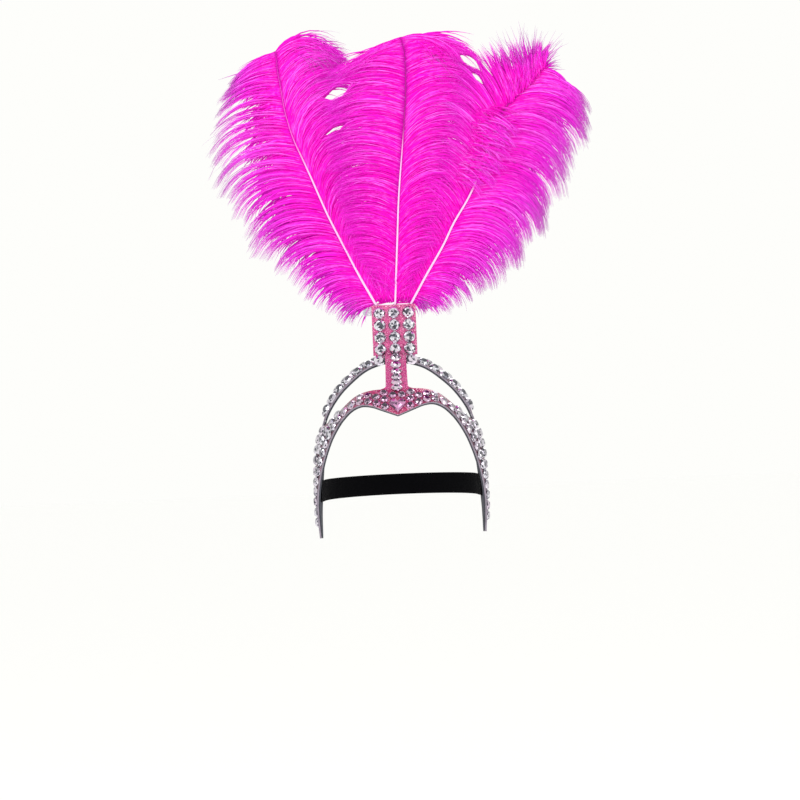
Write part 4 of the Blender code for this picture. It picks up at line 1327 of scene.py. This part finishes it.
def stones_mesh(name, seats, painted_dark_share, seed, blush, blush_near=0.0):
    """Many stones as one mesh, each turned its own way, with painted light for its facets and a
    painted pink reflection of the foam.
    """
    rng = np.random.default_rng(seed)
    stone_verts, stone_faces = cut_stone()
    verts, faces, facet, tint = [], [], [], []
    for point, normal, radius in seats:
        turn = Matrix.Rotation(rng.uniform(0, math.tau), 3, "Z")
        place = np.array(normal.to_track_quat("Z", "Y").to_matrix() @ turn)
        start = len(verts)
        verts += [tuple(row) for row in (stone_verts * radius) @ place.T + np.array(point)]
        faces += [tuple(start + index for index in face) for face in stone_faces]
        # The painted pink reflection of the brow's foam is strongest near the middle of the brow
        near = blush_near * math.exp(-(point.x / PINK_REFLECTION_WIDTH) ** 2)
        facet += facet_values(stone_verts, stone_faces, rng, painted_dark_share)
        own_pink_reflection = blush + near + rng.normal(0, PINK_REFLECTION_SPREAD)
        tint += [min(max(own_pink_reflection, 0.0), 1.0)] * len(stone_faces)
    piece = new_piece(name, verts, faces)
    store_values(piece, "FACE", facet=facet, blush=tint)
    return piece


def heart_outline():
    points = []
    for index in range(HEART_POINTS):
        angle = 2 * math.pi * index / HEART_POINTS
        side = sum(across * math.sin(turns * angle) for turns, across, _ in HEART_WAVES)
        height = sum(up * math.cos(turns * angle) for turns, _, up in HEART_WAVES)
        points.append(Vector((side * HEART_HALF_WIDTH, height * HEART_LENGTH / 2, 0.0)))
    return points


# Plumes

def quill_points(quill, along):
    """Points of a quill, along from 0 at the plate's top edge to 1 at its tip."""
    rows = np.array([row[:3] for row in quill])
    return smooth_rows(rows, 1 + along * (len(rows) - 2))


def vane_values(table, along, *names):
    """Columns of a vane's table, read at places along it."""
    keys = column(table, VANE_COLUMNS, "along")
    return [np.interp(along, keys, column(table, VANE_COLUMNS, name)) for name in names]


def bent_paths(roots, reach, leave, arrive):
    """The curves of barbs from their roots, bending from one heading to the other."""
    steps = (BARB_RINGS - 1) * PATH_FINENESS
    share = (np.arange(steps) + 0.5) / steps
    heading = np.radians(leave[:, None] + (arrive - leave)[:, None] * share[None, :] ** BARB_BEND)
    stride = (reach / steps)[:, None]
    path = np.zeros((len(roots), steps + 1, 3))
    path[:, 1:, 0] = np.cumsum(np.cos(heading) * stride, axis=1)
    path[:, 1:, 2] = np.cumsum(np.sin(heading) * stride, axis=1)
    return path[:, ::PATH_FINENESS] + roots[:, None, :]


def barb_paths(build, along, lean, droop, stretch):
    """Barbs that leave the quill at given places, each with its own lean and length."""
    reach, leave, arrive = vane_values(build["table"], along, "reach", "leave", "arrive")
    roots = quill_points(build["quill"], along)
    return bent_paths(roots, reach * stretch, leave + lean, arrive + droop)


def bundled(rng, low, high, count, bundle, jitter):
    """Random values that the barbs of one bundle share but for a little jitter."""
    shared = np.repeat(rng.uniform(low, high, count // bundle), bundle)
    return shared + rng.normal(0, jitter, count)


def spray_paths(quill, sprays, rng):
    """Loose barbs near the plate, at the tips and over the right quill, and which of them fade."""
    paths, shades, fading = [], [], []
    for places, count, bundle, beside, behind, leave, arrive, reach, tone in sprays:
        share = bundled(rng, 0.0, 1.0, count, bundle, 0.02)
        roots = quill_points(quill, bundled(rng, *places, count, bundle, 0.0))
        roots[:, 0] += bundled(rng, *beside, count, bundle, 0.5)
        roots[:, 1] += bundled(rng, *behind, count, bundle, 0.5)
        starts, ends = (
            low + (high - low) * share + rng.normal(0, spread, count) / bundle
            for (low, high), spread in ((leave, SPRAY_LEAN), (arrive, SPRAY_DROOP))
        )
        found = bent_paths(roots, bundled(rng, *reach, count, bundle, 1.5), starts, ends)
        curl = rng.normal(0, SPRAY_CURL, count)[:, None] / bundle
        found[:, :, 1] += curl * np.linspace(0, 1, BARB_RINGS) ** 2
        paths.append(found)
        shades.append(tone + bundled(rng, -0.2, 0.2, count, bundle, 0.10))
        fading.append(np.full(count, tone < FADING_BELOW))
    return np.concatenate(paths), np.concatenate(shades), np.concatenate(fading)


def parting_droop(table, partings, along):
    """How far partings turn the tips of the barbs on either side of them."""
    leave, arrive = vane_values(table, along, "leave", "arrive")
    towards_tip = np.sign(leave - arrive)
    turned = np.zeros(len(along))
    for place, spread, width in partings:
        off = along - place
        turned += towards_tip * np.sign(off) * spread * np.exp(-np.abs(off) / width)
    return turned


def thinning(along, build):
    """The share of strands that a vane has lost at places along it."""
    return np.interp(along, THIN_ALONG, THIN_SHARES) * build["thin"]


def clump_centres(rng, mean):
    """Places along a quill where clumps of barbs have their middles."""
    places = [0.0]
    while places[-1] < 1.0:
        places.append(places[-1] + mean * rng.uniform(CLUMP_LEAST, 2 - CLUMP_LEAST))
    return np.array(places[:-1])


def nearest(values, centres):
    return np.abs(values[:, None] - centres[None, :]).argmin(axis=1)


def part_round_windows(paths, windows):
    """Pushes barbs apart round the windows, each to the side on which most of it lies."""
    for x, z, half_length, half_height, tilt in windows:
        cos, sin = math.cos(math.radians(tilt)), math.sin(math.radians(tilt))
        off_x, off_z = paths[:, :, 0] - x, paths[:, :, 2] - z
        run, rise = off_x * cos + off_z * sin, off_z * cos - off_x * sin
        edge = half_height * np.exp(-(run / half_length) ** 4)
        near = np.exp(-(run / half_length) ** 2 - (rise / half_height / 4) ** 2)
        side = np.where((near * rise).sum(axis=1) < 0, -1.0, 1.0)[:, None]
        push = np.maximum(edge - side * rise, 0.0) * side
        push *= np.exp(-(rise / half_height / 3) ** 2 - (run / half_length / 1.3) ** 4)
        push[::WINDOW_CROSSERS] = 0.0
        paths[:, :, 0] -= push * sin
        paths[:, :, 2] += push * cos


def hung_strands(name, build, rng):
    """The strands of a vane, gathered into locks: places, leans, droops, lengths, paths, shades."""
    ease = np.linspace(0.0, 1.0, BARB_RINGS)[None, :, None] ** LOCK_CLOSES_LATE
    locks = clump_centres(rng, LOCK_PITCH)
    lean = rng.normal(0, LOCK_LEAN, len(locks))
    droop = rng.normal(0, LOCK_DROOP, len(locks)) * build["unrest"]
    droop = droop + parting_droop(build["table"], PARTINGS[name], locks)
    stretch = rng.uniform(*LOCK_LENGTHS, len(locks))
    closing = build["closing"] * rng.uniform(*LOCK_CLOSINGS, len(locks))
    lock_paths = barb_paths(build, locks, lean, droop, stretch)

    strands = clump_centres(rng, build["pitch"])
    of_lock = nearest(strands, locks)
    lean = lean[of_lock] + rng.normal(0, STRAND_LEAN, len(strands))
    droop = droop[of_lock] + rng.normal(0, STRAND_DROOP, len(strands)) * build["unrest"]
    stretch = stretch[of_lock] * rng.uniform(*STRAND_LENGTHS, len(strands))
    paths = barb_paths(build, strands, lean, droop, stretch)
    pull = closing[of_lock][:, None, None] * ease
    paths = paths * (1 - pull) + lock_paths[of_lock] * pull
    return strands, lean, droop, stretch, paths, rng.normal(0.0, STRAND_SHADE, len(strands))


def vane_barbs(name, settings, rng):
    """Paths, and the values for the dye and the painted light, of all barbs of one side of a plume.
    """
    build = dict(zip(BUILD_COLUMNS, VANES[name]))
    count = int(settings.barbs_per_side * build["share"])
    strands, strand_lean, strand_droop, strand_stretch, strand_paths, strand_shade = hung_strands(
        name, build, rng
    )

    along = np.sort(rng.uniform(0.0, 1.0, count))
    of_strand = nearest(along, strands)
    down = rng.random(count) < DOWN_SHARE
    stray = rng.random(count) < STRAY_SHARE
    turn = (np.arange(len(strands)) * GOLDEN + rng.uniform(0.0, 0.2, len(strands))) % 1
    lost = turn < thinning(strands, build)
    kept = down | ~lost[of_strand]
    along, of_strand, down, stray = (values[kept] for values in (along, of_strand, down, stray))
    count = len(along)
    thinned = thinning(along, build)
    bush = np.exp(-along / BUSH_END)
    wild = BARB_LEAN + BUSH_LEAN * bush + DOWN_LEAN * down
    lean = strand_lean[of_strand] + rng.normal(0, 1, count) * wild
    wild = BARB_DROOP + BUSH_DROOP * bush + DOWN_DROOP * down + STRAY_DROOP * stray
    droop = strand_droop[of_strand] + rng.normal(0, 1, count) * wild
    gaps = np.gradient(strands)[of_strand]
    off = np.clip(np.abs(along - strands[of_strand]) / gaps * 2, 0.0, 1.0)
    cut = build["shorter"] * rng.random(count) ** SHORT_POWER
    drawn = rng.random(count) ** (DOWN_LENGTHS + DOWN_THIN_LENGTHS * thinned)
    fluff = (DOWN_LEAST + (build["down"] - DOWN_LEAST) * drawn) * (1 - DOWN_THINNED * thinned)
    stretch = np.where(down, fluff, strand_stretch[of_strand] * (BARB_LONGEST - cut))
    paths = barb_paths(build, along, lean, droop, stretch)

    flat = np.linspace(0.0, 1.0, BARB_RINGS)[None, :]
    share = flat[:, :, None]
    held = rng.uniform(*BARB_HOLDS, count) * build["firmness"]
    hold = np.where(down | stray, LOOSE_HOLD, held)[:, None, None]
    hold = hold * share ** build["late"] * (1 - TIP_RELEASE * share ** 4)
    paths = paths * (1 - hold) + strand_paths[of_strand] * hold

    deep, shallow = rng.uniform(*DOWN_DEPTHS, count), rng.uniform(*BARB_DEPTHS, count)
    depth = np.where(down, deep, shallow + EDGE_DEPTH * off)[:, None] - DEPTH_AT_QUILL
    back = build["quill"][0][3] * ROOT_BEHIND
    curl = rng.normal(0, BARB_CURL, count)[:, None] * flat ** 2
    rise = np.sin(np.pi * np.minimum(flat * ARCH_EARLY, 1.0)) * BARB_ARCH
    eased = flat ** DEPTH_EASE
    paths[:, :, 1] += back + depth * (settings.vane_depth / MM) * eased + curl - rise
    paths[:, :, 1] += build["swing"] * flat ** 2 + BUSH_BACK * bush[:, None] * eased
    # Painted light and shade: each strand's and each barb's own, darker at a strand's edges and on
    # the down, lighter where the vane is thin, and evened out near the plate on the inner vanes
    shade = SHADE_MIDDLE + strand_shade[of_strand] + rng.normal(0, BARB_SHADE, count)
    shade = shade - EDGE_DARKER * off ** 1.5 - DOWN_DARKER * down
    shade += THINNED_PALER * thinned
    calm = CALM * (1 - build["greyness"]) * np.clip(1 - along / CALM_UP_TO, 0.0, 1.0)
    shade += calm * (CALM_SHADE - shade)
    across = flat * (stretch * (1 + THINNED_GREYER * thinned))[:, None] * build["greyness"]
    width = np.where(down, DOWN_WIDTH, 1 - THINNED_NARROWER * thinned)

    loose, loose_shade, fading = spray_paths(build["quill"], SPRAYS[name], rng)
    loose[:, :, 1] += back
    paths = np.concatenate([paths, loose])
    part_round_windows(paths, WINDOWS.get(name, ()))
    shade = np.concatenate([shade, loose_shade])
    loose_across = flat * np.where(fading, 1.0, build["greyness"])[:, None]
    across = np.concatenate([across, loose_across])
    width = np.concatenate([width, np.full(len(loose), LOOSE_WIDTH)])
    return paths, np.clip(shade, 0.0, 1.0), across, width


def barbs_mesh(name, paths, shade, across, width, rng):
    """Barbs as slim blades that taper to a point, with their own values for the dye and the painted
    light.
    """
    count, rings = paths.shape[:2]
    along = np.gradient(paths, axis=1)
    along /= np.linalg.norm(along, axis=2, keepdims=True)
    side = np.stack([-along[:, :, 2], np.zeros((count, rings)), along[:, :, 0]], axis=2)
    side /= np.linalg.norm(side, axis=2, keepdims=True)
    front = np.cross(along, side)
    front *= -np.sign(front[:, :, 1:2])
    share = np.linspace(0.0, 1.0, rings)
    turn, twist = rng.normal(0, BARB_TWIST, count), rng.normal(0, BARB_TWIST, count)
    turn = turn[:, None] + twist[:, None] * share
    half = (width / MM / 2 * rng.uniform(*BARB_WIDTHS, count))[:, None]
    half = half * (BARB_FULLNESS + BARB_BELLY * np.sin(np.pi * share))
    half = half * (1 - share ** BARB_TAPER) + BARB_POINT
    cos, sin, half = (values[:, :, None] for values in (np.cos(turn), np.sin(turn), half))
    turned = side * cos + front * sin
    raised = front * cos - side * sin
    corners = [paths + turned * half, paths + raised * half * BARB_FLATNESS, paths - turned * half]
    verts = np.stack(corners, axis=2)
    first = np.arange(count)[:, None] * rings * BARB_SIDES
    base = (first + np.arange(rings - 1)[None, :] * BARB_SIDES).reshape(-1, 1)
    faces = []
    for corner in range(BARB_SIDES):
        after = (corner + 1) % BARB_SIDES
        steps = (corner, after, BARB_SIDES + after, BARB_SIDES + corner)
        faces += np.hstack([base + step for step in steps]).tolist()
    last = first + (rings - 1) * BARB_SIDES
    for cap in ([first + 2, first + 1, first], [last, last + 1, last + 2]):
        faces += np.hstack(cap).tolist()
    piece = new_piece(name, verts.reshape(-1, 3).tolist(), faces)
    layers = {
        "across": across[:, :, None], "shade": shade[:, None, None],
        "strand": rng.random(count)[:, None, None], "length": share[None, :, None],
    }
    shape = (count, rings, BARB_SIDES)
    store_values(piece, "POINT", **{
        label: np.ascontiguousarray(np.broadcast_to(values, shape)).ravel()
        for label, values in layers.items()
    })
    piece.data.polygons.foreach_set("use_smooth", [True] * len(piece.data.polygons))
    return piece


# Strap

def guard_inside_x(y, z, depth):
    """Where the lining's inner face is on the left guard at a place seen from the side."""
    first, last = GUARD_ROWS
    along, over = GUARD_SAMPLES
    points = (
        band_point(first + (last - first) * i / along, j / over, -depth)
        for i in range(along + 1)
        for j in range(over + 1)
    )
    return min(points, key=lambda point: (point.y - y) ** 2 + (point.z - z) ** 2).x


def strap_rows(lining):
    """The strap's top and bottom edge, from inside the left guard to the middle behind."""
    top, bottom = STRAP_Z + STRAP_HEIGHT / 2, STRAP_Z - STRAP_HEIGHT / 2
    rows = []
    for y in STRAP_ON_GUARD_Y:
        rows.append([
            Vector((guard_inside_x(y, z, GAP + lining) + STRAP_INSET, y, z)) for z in (top, bottom)
        ])
    leaving = rows[-1]
    for step in range(1, STRAP_STEPS + 1):
        angle = math.pi / 2 * step / STRAP_STEPS
        y = leaving[0].y + (STRAP_BACK_Y - leaving[0].y) * math.sin(angle)
        rows.append([Vector((edge.x * math.cos(angle), y, edge.z)) for edge in leaving])
    for edge in rows[-1]:
        edge.x = 0.0
    return rows


# Operators

class HEADDRESS_OT_stage(bpy.types.Operator):
    """Adds the pale floor, the soft lights and the camera"""

    bl_idname = "headdress.stage"
    bl_label = "Studio and camera"

    def execute(self, context):
        stage = context.scene.headdress_stage
        deselect_all()
        height = stage.floor_height
        bpy.ops.mesh.primitive_plane_add(size=FLOOR_SIZE, location=(0.0, 0.0, height))
        floor = context.active_object
        floor.name = "studio_floor"
        paint, _, _ = new_material(
            "studio_floor", Base_Color=(0.998, 0.998, 0.996, 1.0), Roughness=0.9,
            Specular_IOR_Level=0.1,
        )
        floor.data.materials.append(paint)
        world = bpy.data.worlds.new("studio")
        world.use_nodes = True
        context.scene.world = world
        sky = world.node_tree.nodes["Background"]
        sky.inputs["Color"].default_value = (*stage.backdrop_colour, 1.0)
        sky.inputs["Strength"].default_value = 1.0
        context.scene.view_settings.view_transform = "Standard"
        for name, place, size, power in LAMPS:
            bpy.ops.object.light_add(type="AREA", location=place)
            lamp = context.active_object
            lamp.name = name
            lamp.data.size = size
            lamp.data.energy = power
            aim = LIT_PLACE - Vector(place)
            lamp.rotation_euler = aim.to_track_quat("-Z", "Y").to_euler()
        bpy.ops.object.camera_add(
            location=(CAMERA_X, -stage.distance, CAMERA_Z),
            rotation=(math.radians(90), stage.roll, 0.0),
        )
        camera = context.active_object
        camera.data.sensor_width = SENSOR_WIDTH
        camera.data.lens = camera.data.sensor_width * stage.distance / stage.view_width
        context.scene.camera = camera
        return {"FINISHED"}


class HEADDRESS_OT_frame_foam(bpy.types.Operator):
    """Adds the glitter facing and the dark lining of the brow, the guards and the stem"""

    bl_idname = "headdress.frame_foam"
    bl_label = "Brow, guards and stem"

    def execute(self, context):
        foam = context.scene.headdress_foam
        finishes = (
            glitter_material("glitter_brow", foam.brow_colour, foam.flake_size, foam.arch_colour),
            foam_material("cut_edge", foam.cut_colour),
            glitter_material("glitter_stem", foam.plate_colour, foam.flake_size),
        )
        facing = foam_piece("brow_facing", frame_half_grids(0.0), foam, finishes, mirrored=True)
        for face in facing.data.polygons:
            inside = abs(face.center.x) < STEM_GLITTER_HALF_WIDTH
            if inside and face.center.z > STEM_GLITTER_FROM_Z and face.material_index == 0:
                face.material_index = 2
        finish_piece(facing, "glitter_pink", "brow_band")
        finishes = (foam_material("dark_lining", foam.lining_colour),)
        lining = foam_piece(
            "brow_foam_lining", frame_half_grids(-GAP), foam, finishes, inward=True, mirrored=True
        )
        finish_piece(lining, "dark_foam", "brow_lining")
        return {"FINISHED"}


class HEADDRESS_OT_arch_foam(bpy.types.Operator):
    """Adds the facing and the lining of the arch over the head"""

    bl_idname = "headdress.arch_foam"
    bl_label = "Crown arch"

    def execute(self, context):
        foam = context.scene.headdress_foam
        finishes = (
            glitter_material("glitter_arch", foam.arch_colour, foam.flake_size),
            bpy.data.materials["cut_edge"],
        )
        facing = foam_piece("arch_facing", [arch_grid(0.0)], foam, finishes)
        finish_piece(facing, "glitter_pink", "crown_arch")
        finishes = (bpy.data.materials["dark_lining"],)
        lining = foam_piece("arch_foam_lining", [arch_grid(-GAP)], foam, finishes, inward=True)
        finish_piece(lining, "dark_foam", "arch_lining")
        return {"FINISHED"}


class HEADDRESS_OT_field_stones(bpy.types.Operator):
    """Sets the cut stones on the brow, the guards and the arch"""

    bl_idname = "headdress.field_stones"
    bl_label = "Field stones"

    def execute(self, context):
        foam, stones = context.scene.headdress_foam, context.scene.headdress_stones
        finish = stone_material("crystal_field", stones.field_tint, stones.blush_tint)
        lift = foam.facing_thickness / MM + STONE_LIFT
        # Each set's painted pink reflection, and how much more of it near the middle of the brow
        for name, half, node, seed, blush, near in (
            ("brow_stones", band_stone_seats(), "brow_band", 11, 0.12, 0.8),
            ("arch_stones", arch_stone_seats(), "crown_arch", 12, 0.08, 0.0),
        ):
            seats = [
                (point + normal * lift, normal, radius)
                for point, normal, radius in both_sides(half)
            ]
            piece = stones_mesh(name, seats, stones.painted_dark_share * FIELD_DARKER, seed, blush, near)
            finish_piece(piece, "crystal", node, material=finish)
        return {"FINISHED"}


class HEADDRESS_OT_main_stones(bpy.types.Operator):
    """Sets the stones of the plate and the stem, and the heart stone"""

    bl_idname = "headdress.main_stones"
    bl_label = "Plate, stem and heart stones"

    def execute(self, context):
        foam, stones = context.scene.headdress_foam, context.scene.headdress_stones
        finish = stone_material("crystal_cut", stones.crystal_tint, stones.blush_tint)
        thick = foam.facing_thickness / MM
        front = Vector((0.0, -1.0, 0.0))
        plate, stem, plate_nodes = [], [], []
        for row, z in enumerate(PLATE_ROWS, 1):
            for place, x in enumerate(PLATE_COLUMNS, 1):
                plate.append((Vector((x, PLATE_FRONT - GAP, z)), front, PLATE_STONE))
                plate_nodes.append(f"plate_stone_{row}_{place}")
        for number in range(STEM_STONES):
            length = STEM_STONE_START + number * STEM_STONE_PITCH
            seat, normal = stem_seat(length, STEM_STONE, thick)
            stem.append((seat + normal * GAP, normal, STEM_STONE))
        stem_nodes = [f"stem_stone_{number}" for number in range(1, STEM_STONES + 1)]
        corners = both_sides([corner_stone_seat(thick)])
        # Each set's painted pink reflection, and how much more often its facets are painted dark
        for name, seats, nodes, seed, blush, darker in (
            ("plate_stones", plate, plate_nodes, 5, 0.05, 1.15),
            ("stem_stones", stem, stem_nodes, 9, 0.35, 1.15),
            ("corner_stones", corners, ["crown_arch"], 3, 0.05, 0.5),
        ):
            piece = stones_mesh(name, seats, stones.painted_dark_share * darker, seed, blush)
            finish_piece(piece, "crystal", *nodes, material=finish)
        self.add_heart(stones, thick)
        return {"FINISHED"}

    def add_heart(self, stones, thick):
        """The heart: a girdle, two rows of crown facets and a table."""
        outline = heart_outline()
        count = len(outline)
        verts = [
            point * scale + Vector((0.0, HEART_SHIFT * (1 - scale), height))
            for scale, height in HEART_LEVELS for point in outline
        ]
        ring = [(index, (index + 1) % count) for index in range(count)]
        faces = [tuple(reversed(range(count)))]
        for low in range(0, len(verts) - count, count):
            high = low + count
            faces += [(low + here, low + after, high + after, high + here) for here, after in ring]
        top = len(verts) - count
        faces += [(top + here, top + after, len(verts)) for here, after in ring]
        verts.append(Vector((0.0, HEART_TABLE_Y, HEART_LEVELS[-1][1])))
        point, normal = heart_seat()
        upward = (Vector((0, 0, 1)) - normal * normal.z).normalized()
        turn = Matrix((upward.cross(normal), upward, normal)).transposed()
        seat = point + normal * (thick + GAP)
        heart = new_piece("heart_cut_stone", [turn @ vert + seat for vert in verts], faces)
        rng = np.random.default_rng(HEART_SEED)
        # Painted reflections of the heart: the light of its blocks of facets and of each facet in
        # them
        blocks = rng.uniform(*HEART_BLOCK_LIGHT, count)
        facet = [
            blocks[(number // 2) % count] * rng.uniform(*HEART_FACET_LIGHT)
            for number in range(len(faces))
        ]
        store_values(heart, "FACE", facet=facet, blush=[HEART_PINK_REFLECTION] * len(facet))
        finish = stone_material("heart_cut", stones.heart_tint, stones.blush_tint)
        finish_piece(heart, "pink_crystal", "heart_stone", material=finish)


class HEADDRESS_OT_plume_holder(bpy.types.Operator):
    """Adds the glitter plate and finishes the slab and the clear tab"""

    bl_idname = "headdress.plume_holder"
    bl_label = "Plume holder"

    def execute(self, context):
        foam = context.scene.headdress_foam
        deselect_all()
        low = Vector((-PLATE_WIDTH / 2, PLATE_FRONT, PLATE_BOTTOM)) * MM
        high = Vector((PLATE_WIDTH / 2, PLATE_FRONT + PLATE_THICK, PLATE_TOP)) * MM
        bpy.ops.mesh.primitive_cube_add(size=1.0, location=(low + high) / 2, scale=high - low)
        plate = context.active_object
        plate.name = "plume_plate_facing"
        bpy.ops.object.transform_apply(location=True, rotation=True, scale=True)
        plate.data.materials.append(
            glitter_material("glitter_plate", foam.plate_colour, foam.flake_size)
        )
        plate.data.materials.append(bpy.data.materials["cut_edge"])
        for face in plate.data.polygons:
            face.material_index = 0 if face.normal.y < -0.9 else 1
        round_edges(plate, PLATE_ROUND, 3)
        finish_piece(plate, "glitter_pink", "plume_plate")
        for node, finish in (
            ("plume_slab", foam_material("pale_slab", (0.86, 0.62, 0.76))),
            ("clear_tab", film_material()),
        ):
            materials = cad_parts[node].data.materials
            materials.clear()
            materials.append(finish)
        return {"FINISHED"}


class HEADDRESS_OT_quills(bpy.types.Operator):
    """Adds the three tapered shafts"""

    bl_idname = "headdress.quills"
    bl_label = "Quills"

    def execute(self, context):
        plumes = context.scene.headdress_plumes
        bright = ((0.70, (0.84, 0.15, 0.62)), (1.0, (0.62, 0.03, 0.44)))
        deep = ((0.70, (0.40, 0.02, 0.24)), (1.0, plumes.quill_tip_colour))
        for side, table, slimness, coloured in (
            ("left", QUILL_LEFT, 0.66, bright),
            ("centre", QUILL_CENTRE, 0.54, deep),
            ("right", QUILL_RIGHT, 0.64, deep),
        ):
            found = smooth_rows(table, np.linspace(0, len(table) - 1, QUILL_STEPS))
            curve = bpy.data.curves.new(f"quill_{side}_shaft", "CURVE")
            curve.dimensions = "3D"
            curve.bevel_depth = MM
            curve.bevel_resolution = 4
            curve.use_fill_caps = True
            spline = curve.splines.new("POLY")
            spline.points.add(len(found) - 1)
            for point, (x, y, z, radius) in zip(spline.points, found):
                point.co = (x * MM, y * MM, z * MM, 1.0)
                point.radius = radius * slimness
            shaft = bpy.data.objects.new(f"quill_{side}_shaft", curve)
            context.scene.collection.objects.link(shaft)
            select_only(shaft)
            bpy.ops.object.convert(target="MESH")
            shaft = context.active_object
            bpy.ops.object.shade_smooth_by_angle(angle=EDGE_ANGLE)
            finish = quill_material(f"quill_horn_{side}", plumes.quill_colour, coloured)
            finish_piece(shaft, "pale_quill", f"quill_{side}", material=finish)
        return {"FINISHED"}


class HEADDRESS_OT_plumes(bpy.types.Operator):
    """Grows the barbs on both sides of each quill"""

    bl_idname = "headdress.plumes"
    bl_label = "Plumes"

    def execute(self, context):
        plumes = context.scene.headdress_plumes
        finish = feather_material(plumes)
        for number, name in enumerate(VANES):
            rng = np.random.default_rng(plumes.seed + number)
            paths, shade, across, width = vane_barbs(name, plumes, rng)
            width = plumes.barb_width * width
            piece = barbs_mesh(f"plume_{name}", paths, shade, across, width, rng)
            node = f"plume_{name.split('_')[0]}"
            finish_piece(piece, "hot_pink_feather", node, material=finish)
        return {"FINISHED"}


class HEADDRESS_OT_strap(bpy.types.Operator):
    """Adds the ribbed black elastic behind the head"""

    bl_idname = "headdress.strap"
    bl_label = "Elastic strap"

    def execute(self, context):
        foam, strap = context.scene.headdress_foam, context.scene.headdress_strap
        half = strap_rows(foam.lining_thickness / MM)
        rows = half + [
            [Vector((-edge.x, edge.y, edge.z)) for edge in row] for row in reversed(half[:-1])
        ]
        steps = STRAP_CORDS * STEPS_PER_CORD
        verts = [top.lerp(foot, step / steps) for top, foot in rows for step in range(steps + 1)]
        piece = new_piece("elastic_band", verts, grid_faces(len(rows), steps + 1))
        lengths = [0.0]
        for before, after in zip(rows, rows[1:]):
            lengths.append(lengths[-1] + (after[0] - before[0]).length * MM)
        layer = piece.data.uv_layers.new(name="weave")
        for loop in piece.data.loops:
            row, step = divmod(loop.vertex_index, steps + 1)
            layer.data[loop.index].uv = (lengths[row], step / steps * STRAP_HEIGHT * MM)
        inward = 1.0 if piece.data.polygons[0].normal.x > 0 else -1.0
        ribs = strap.rib_height
        for vertex in piece.data.vertices:
            step = vertex.index % (steps + 1)
            wave = (math.cos(step / STEPS_PER_CORD * math.tau) - 1.0) / 2 * ribs
            vertex.co += vertex.normal * inward * -wave * 0.5
        wall = piece.modifiers.new("Wall", "SOLIDIFY")
        wall.thickness = STRAP_THICK * MM - ribs
        wall.offset = inward
        apply_modifiers(piece)
        bpy.ops.object.shade_smooth_by_angle(angle=EDGE_ANGLE)
        finish = elastic_material(strap.colour)
        finish_piece(piece, "black_elastic", "elastic_strap", material=finish)
        return {"FINISHED"}


class HEADDRESS_PT_panel(bpy.types.Panel):
    bl_label = "Headdress"
    bl_space_type = "VIEW_3D"
    bl_region_type = "UI"
    bl_category = "Headdress"

    def draw(self, context):
        layout = self.layout
        for operator in OPERATORS:
            layout.operator(operator.bl_idname)
        for settings in SETTINGS:
            box = layout.box()
            for name in settings.__annotations__:
                box.prop(getattr(context.scene, SETTINGS[settings]), name)


SETTINGS = {
    FoamSettings: "headdress_foam",
    StoneSettings: "headdress_stones",
    PlumeSettings: "headdress_plumes",
    StrapSettings: "headdress_strap",
    StageSettings: "headdress_stage",
}
OPERATORS = (
    HEADDRESS_OT_stage,
    HEADDRESS_OT_frame_foam,
    HEADDRESS_OT_arch_foam,
    HEADDRESS_OT_field_stones,
    HEADDRESS_OT_main_stones,
    HEADDRESS_OT_plume_holder,
    HEADDRESS_OT_quills,
    HEADDRESS_OT_plumes,
    HEADDRESS_OT_strap,
)


def register():
    for settings, name in SETTINGS.items():
        bpy.utils.register_class(settings)
        setattr(bpy.types.Scene, name, PointerProperty(type=settings))
    for operator in (*OPERATORS, HEADDRESS_PT_panel):
        bpy.utils.register_class(operator)


def unregister():
    for operator in reversed((*OPERATORS, HEADDRESS_PT_panel)):
        bpy.utils.unregister_class(operator)
    for settings, name in SETTINGS.items():
        delattr(bpy.types.Scene, name)
        bpy.utils.unregister_class(settings)


def main():
    register()
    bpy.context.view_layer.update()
    deselect_all()
    bpy.ops.headdress.stage()
    bpy.ops.headdress.frame_foam()
    bpy.ops.headdress.arch_foam()
    bpy.ops.headdress.field_stones()
    bpy.ops.headdress.main_stones()
    bpy.ops.headdress.plume_holder()
    bpy.ops.headdress.quills()
    bpy.ops.headdress.plumes()
    bpy.ops.headdress.strap()


if __name__ == "__main__":
    main()
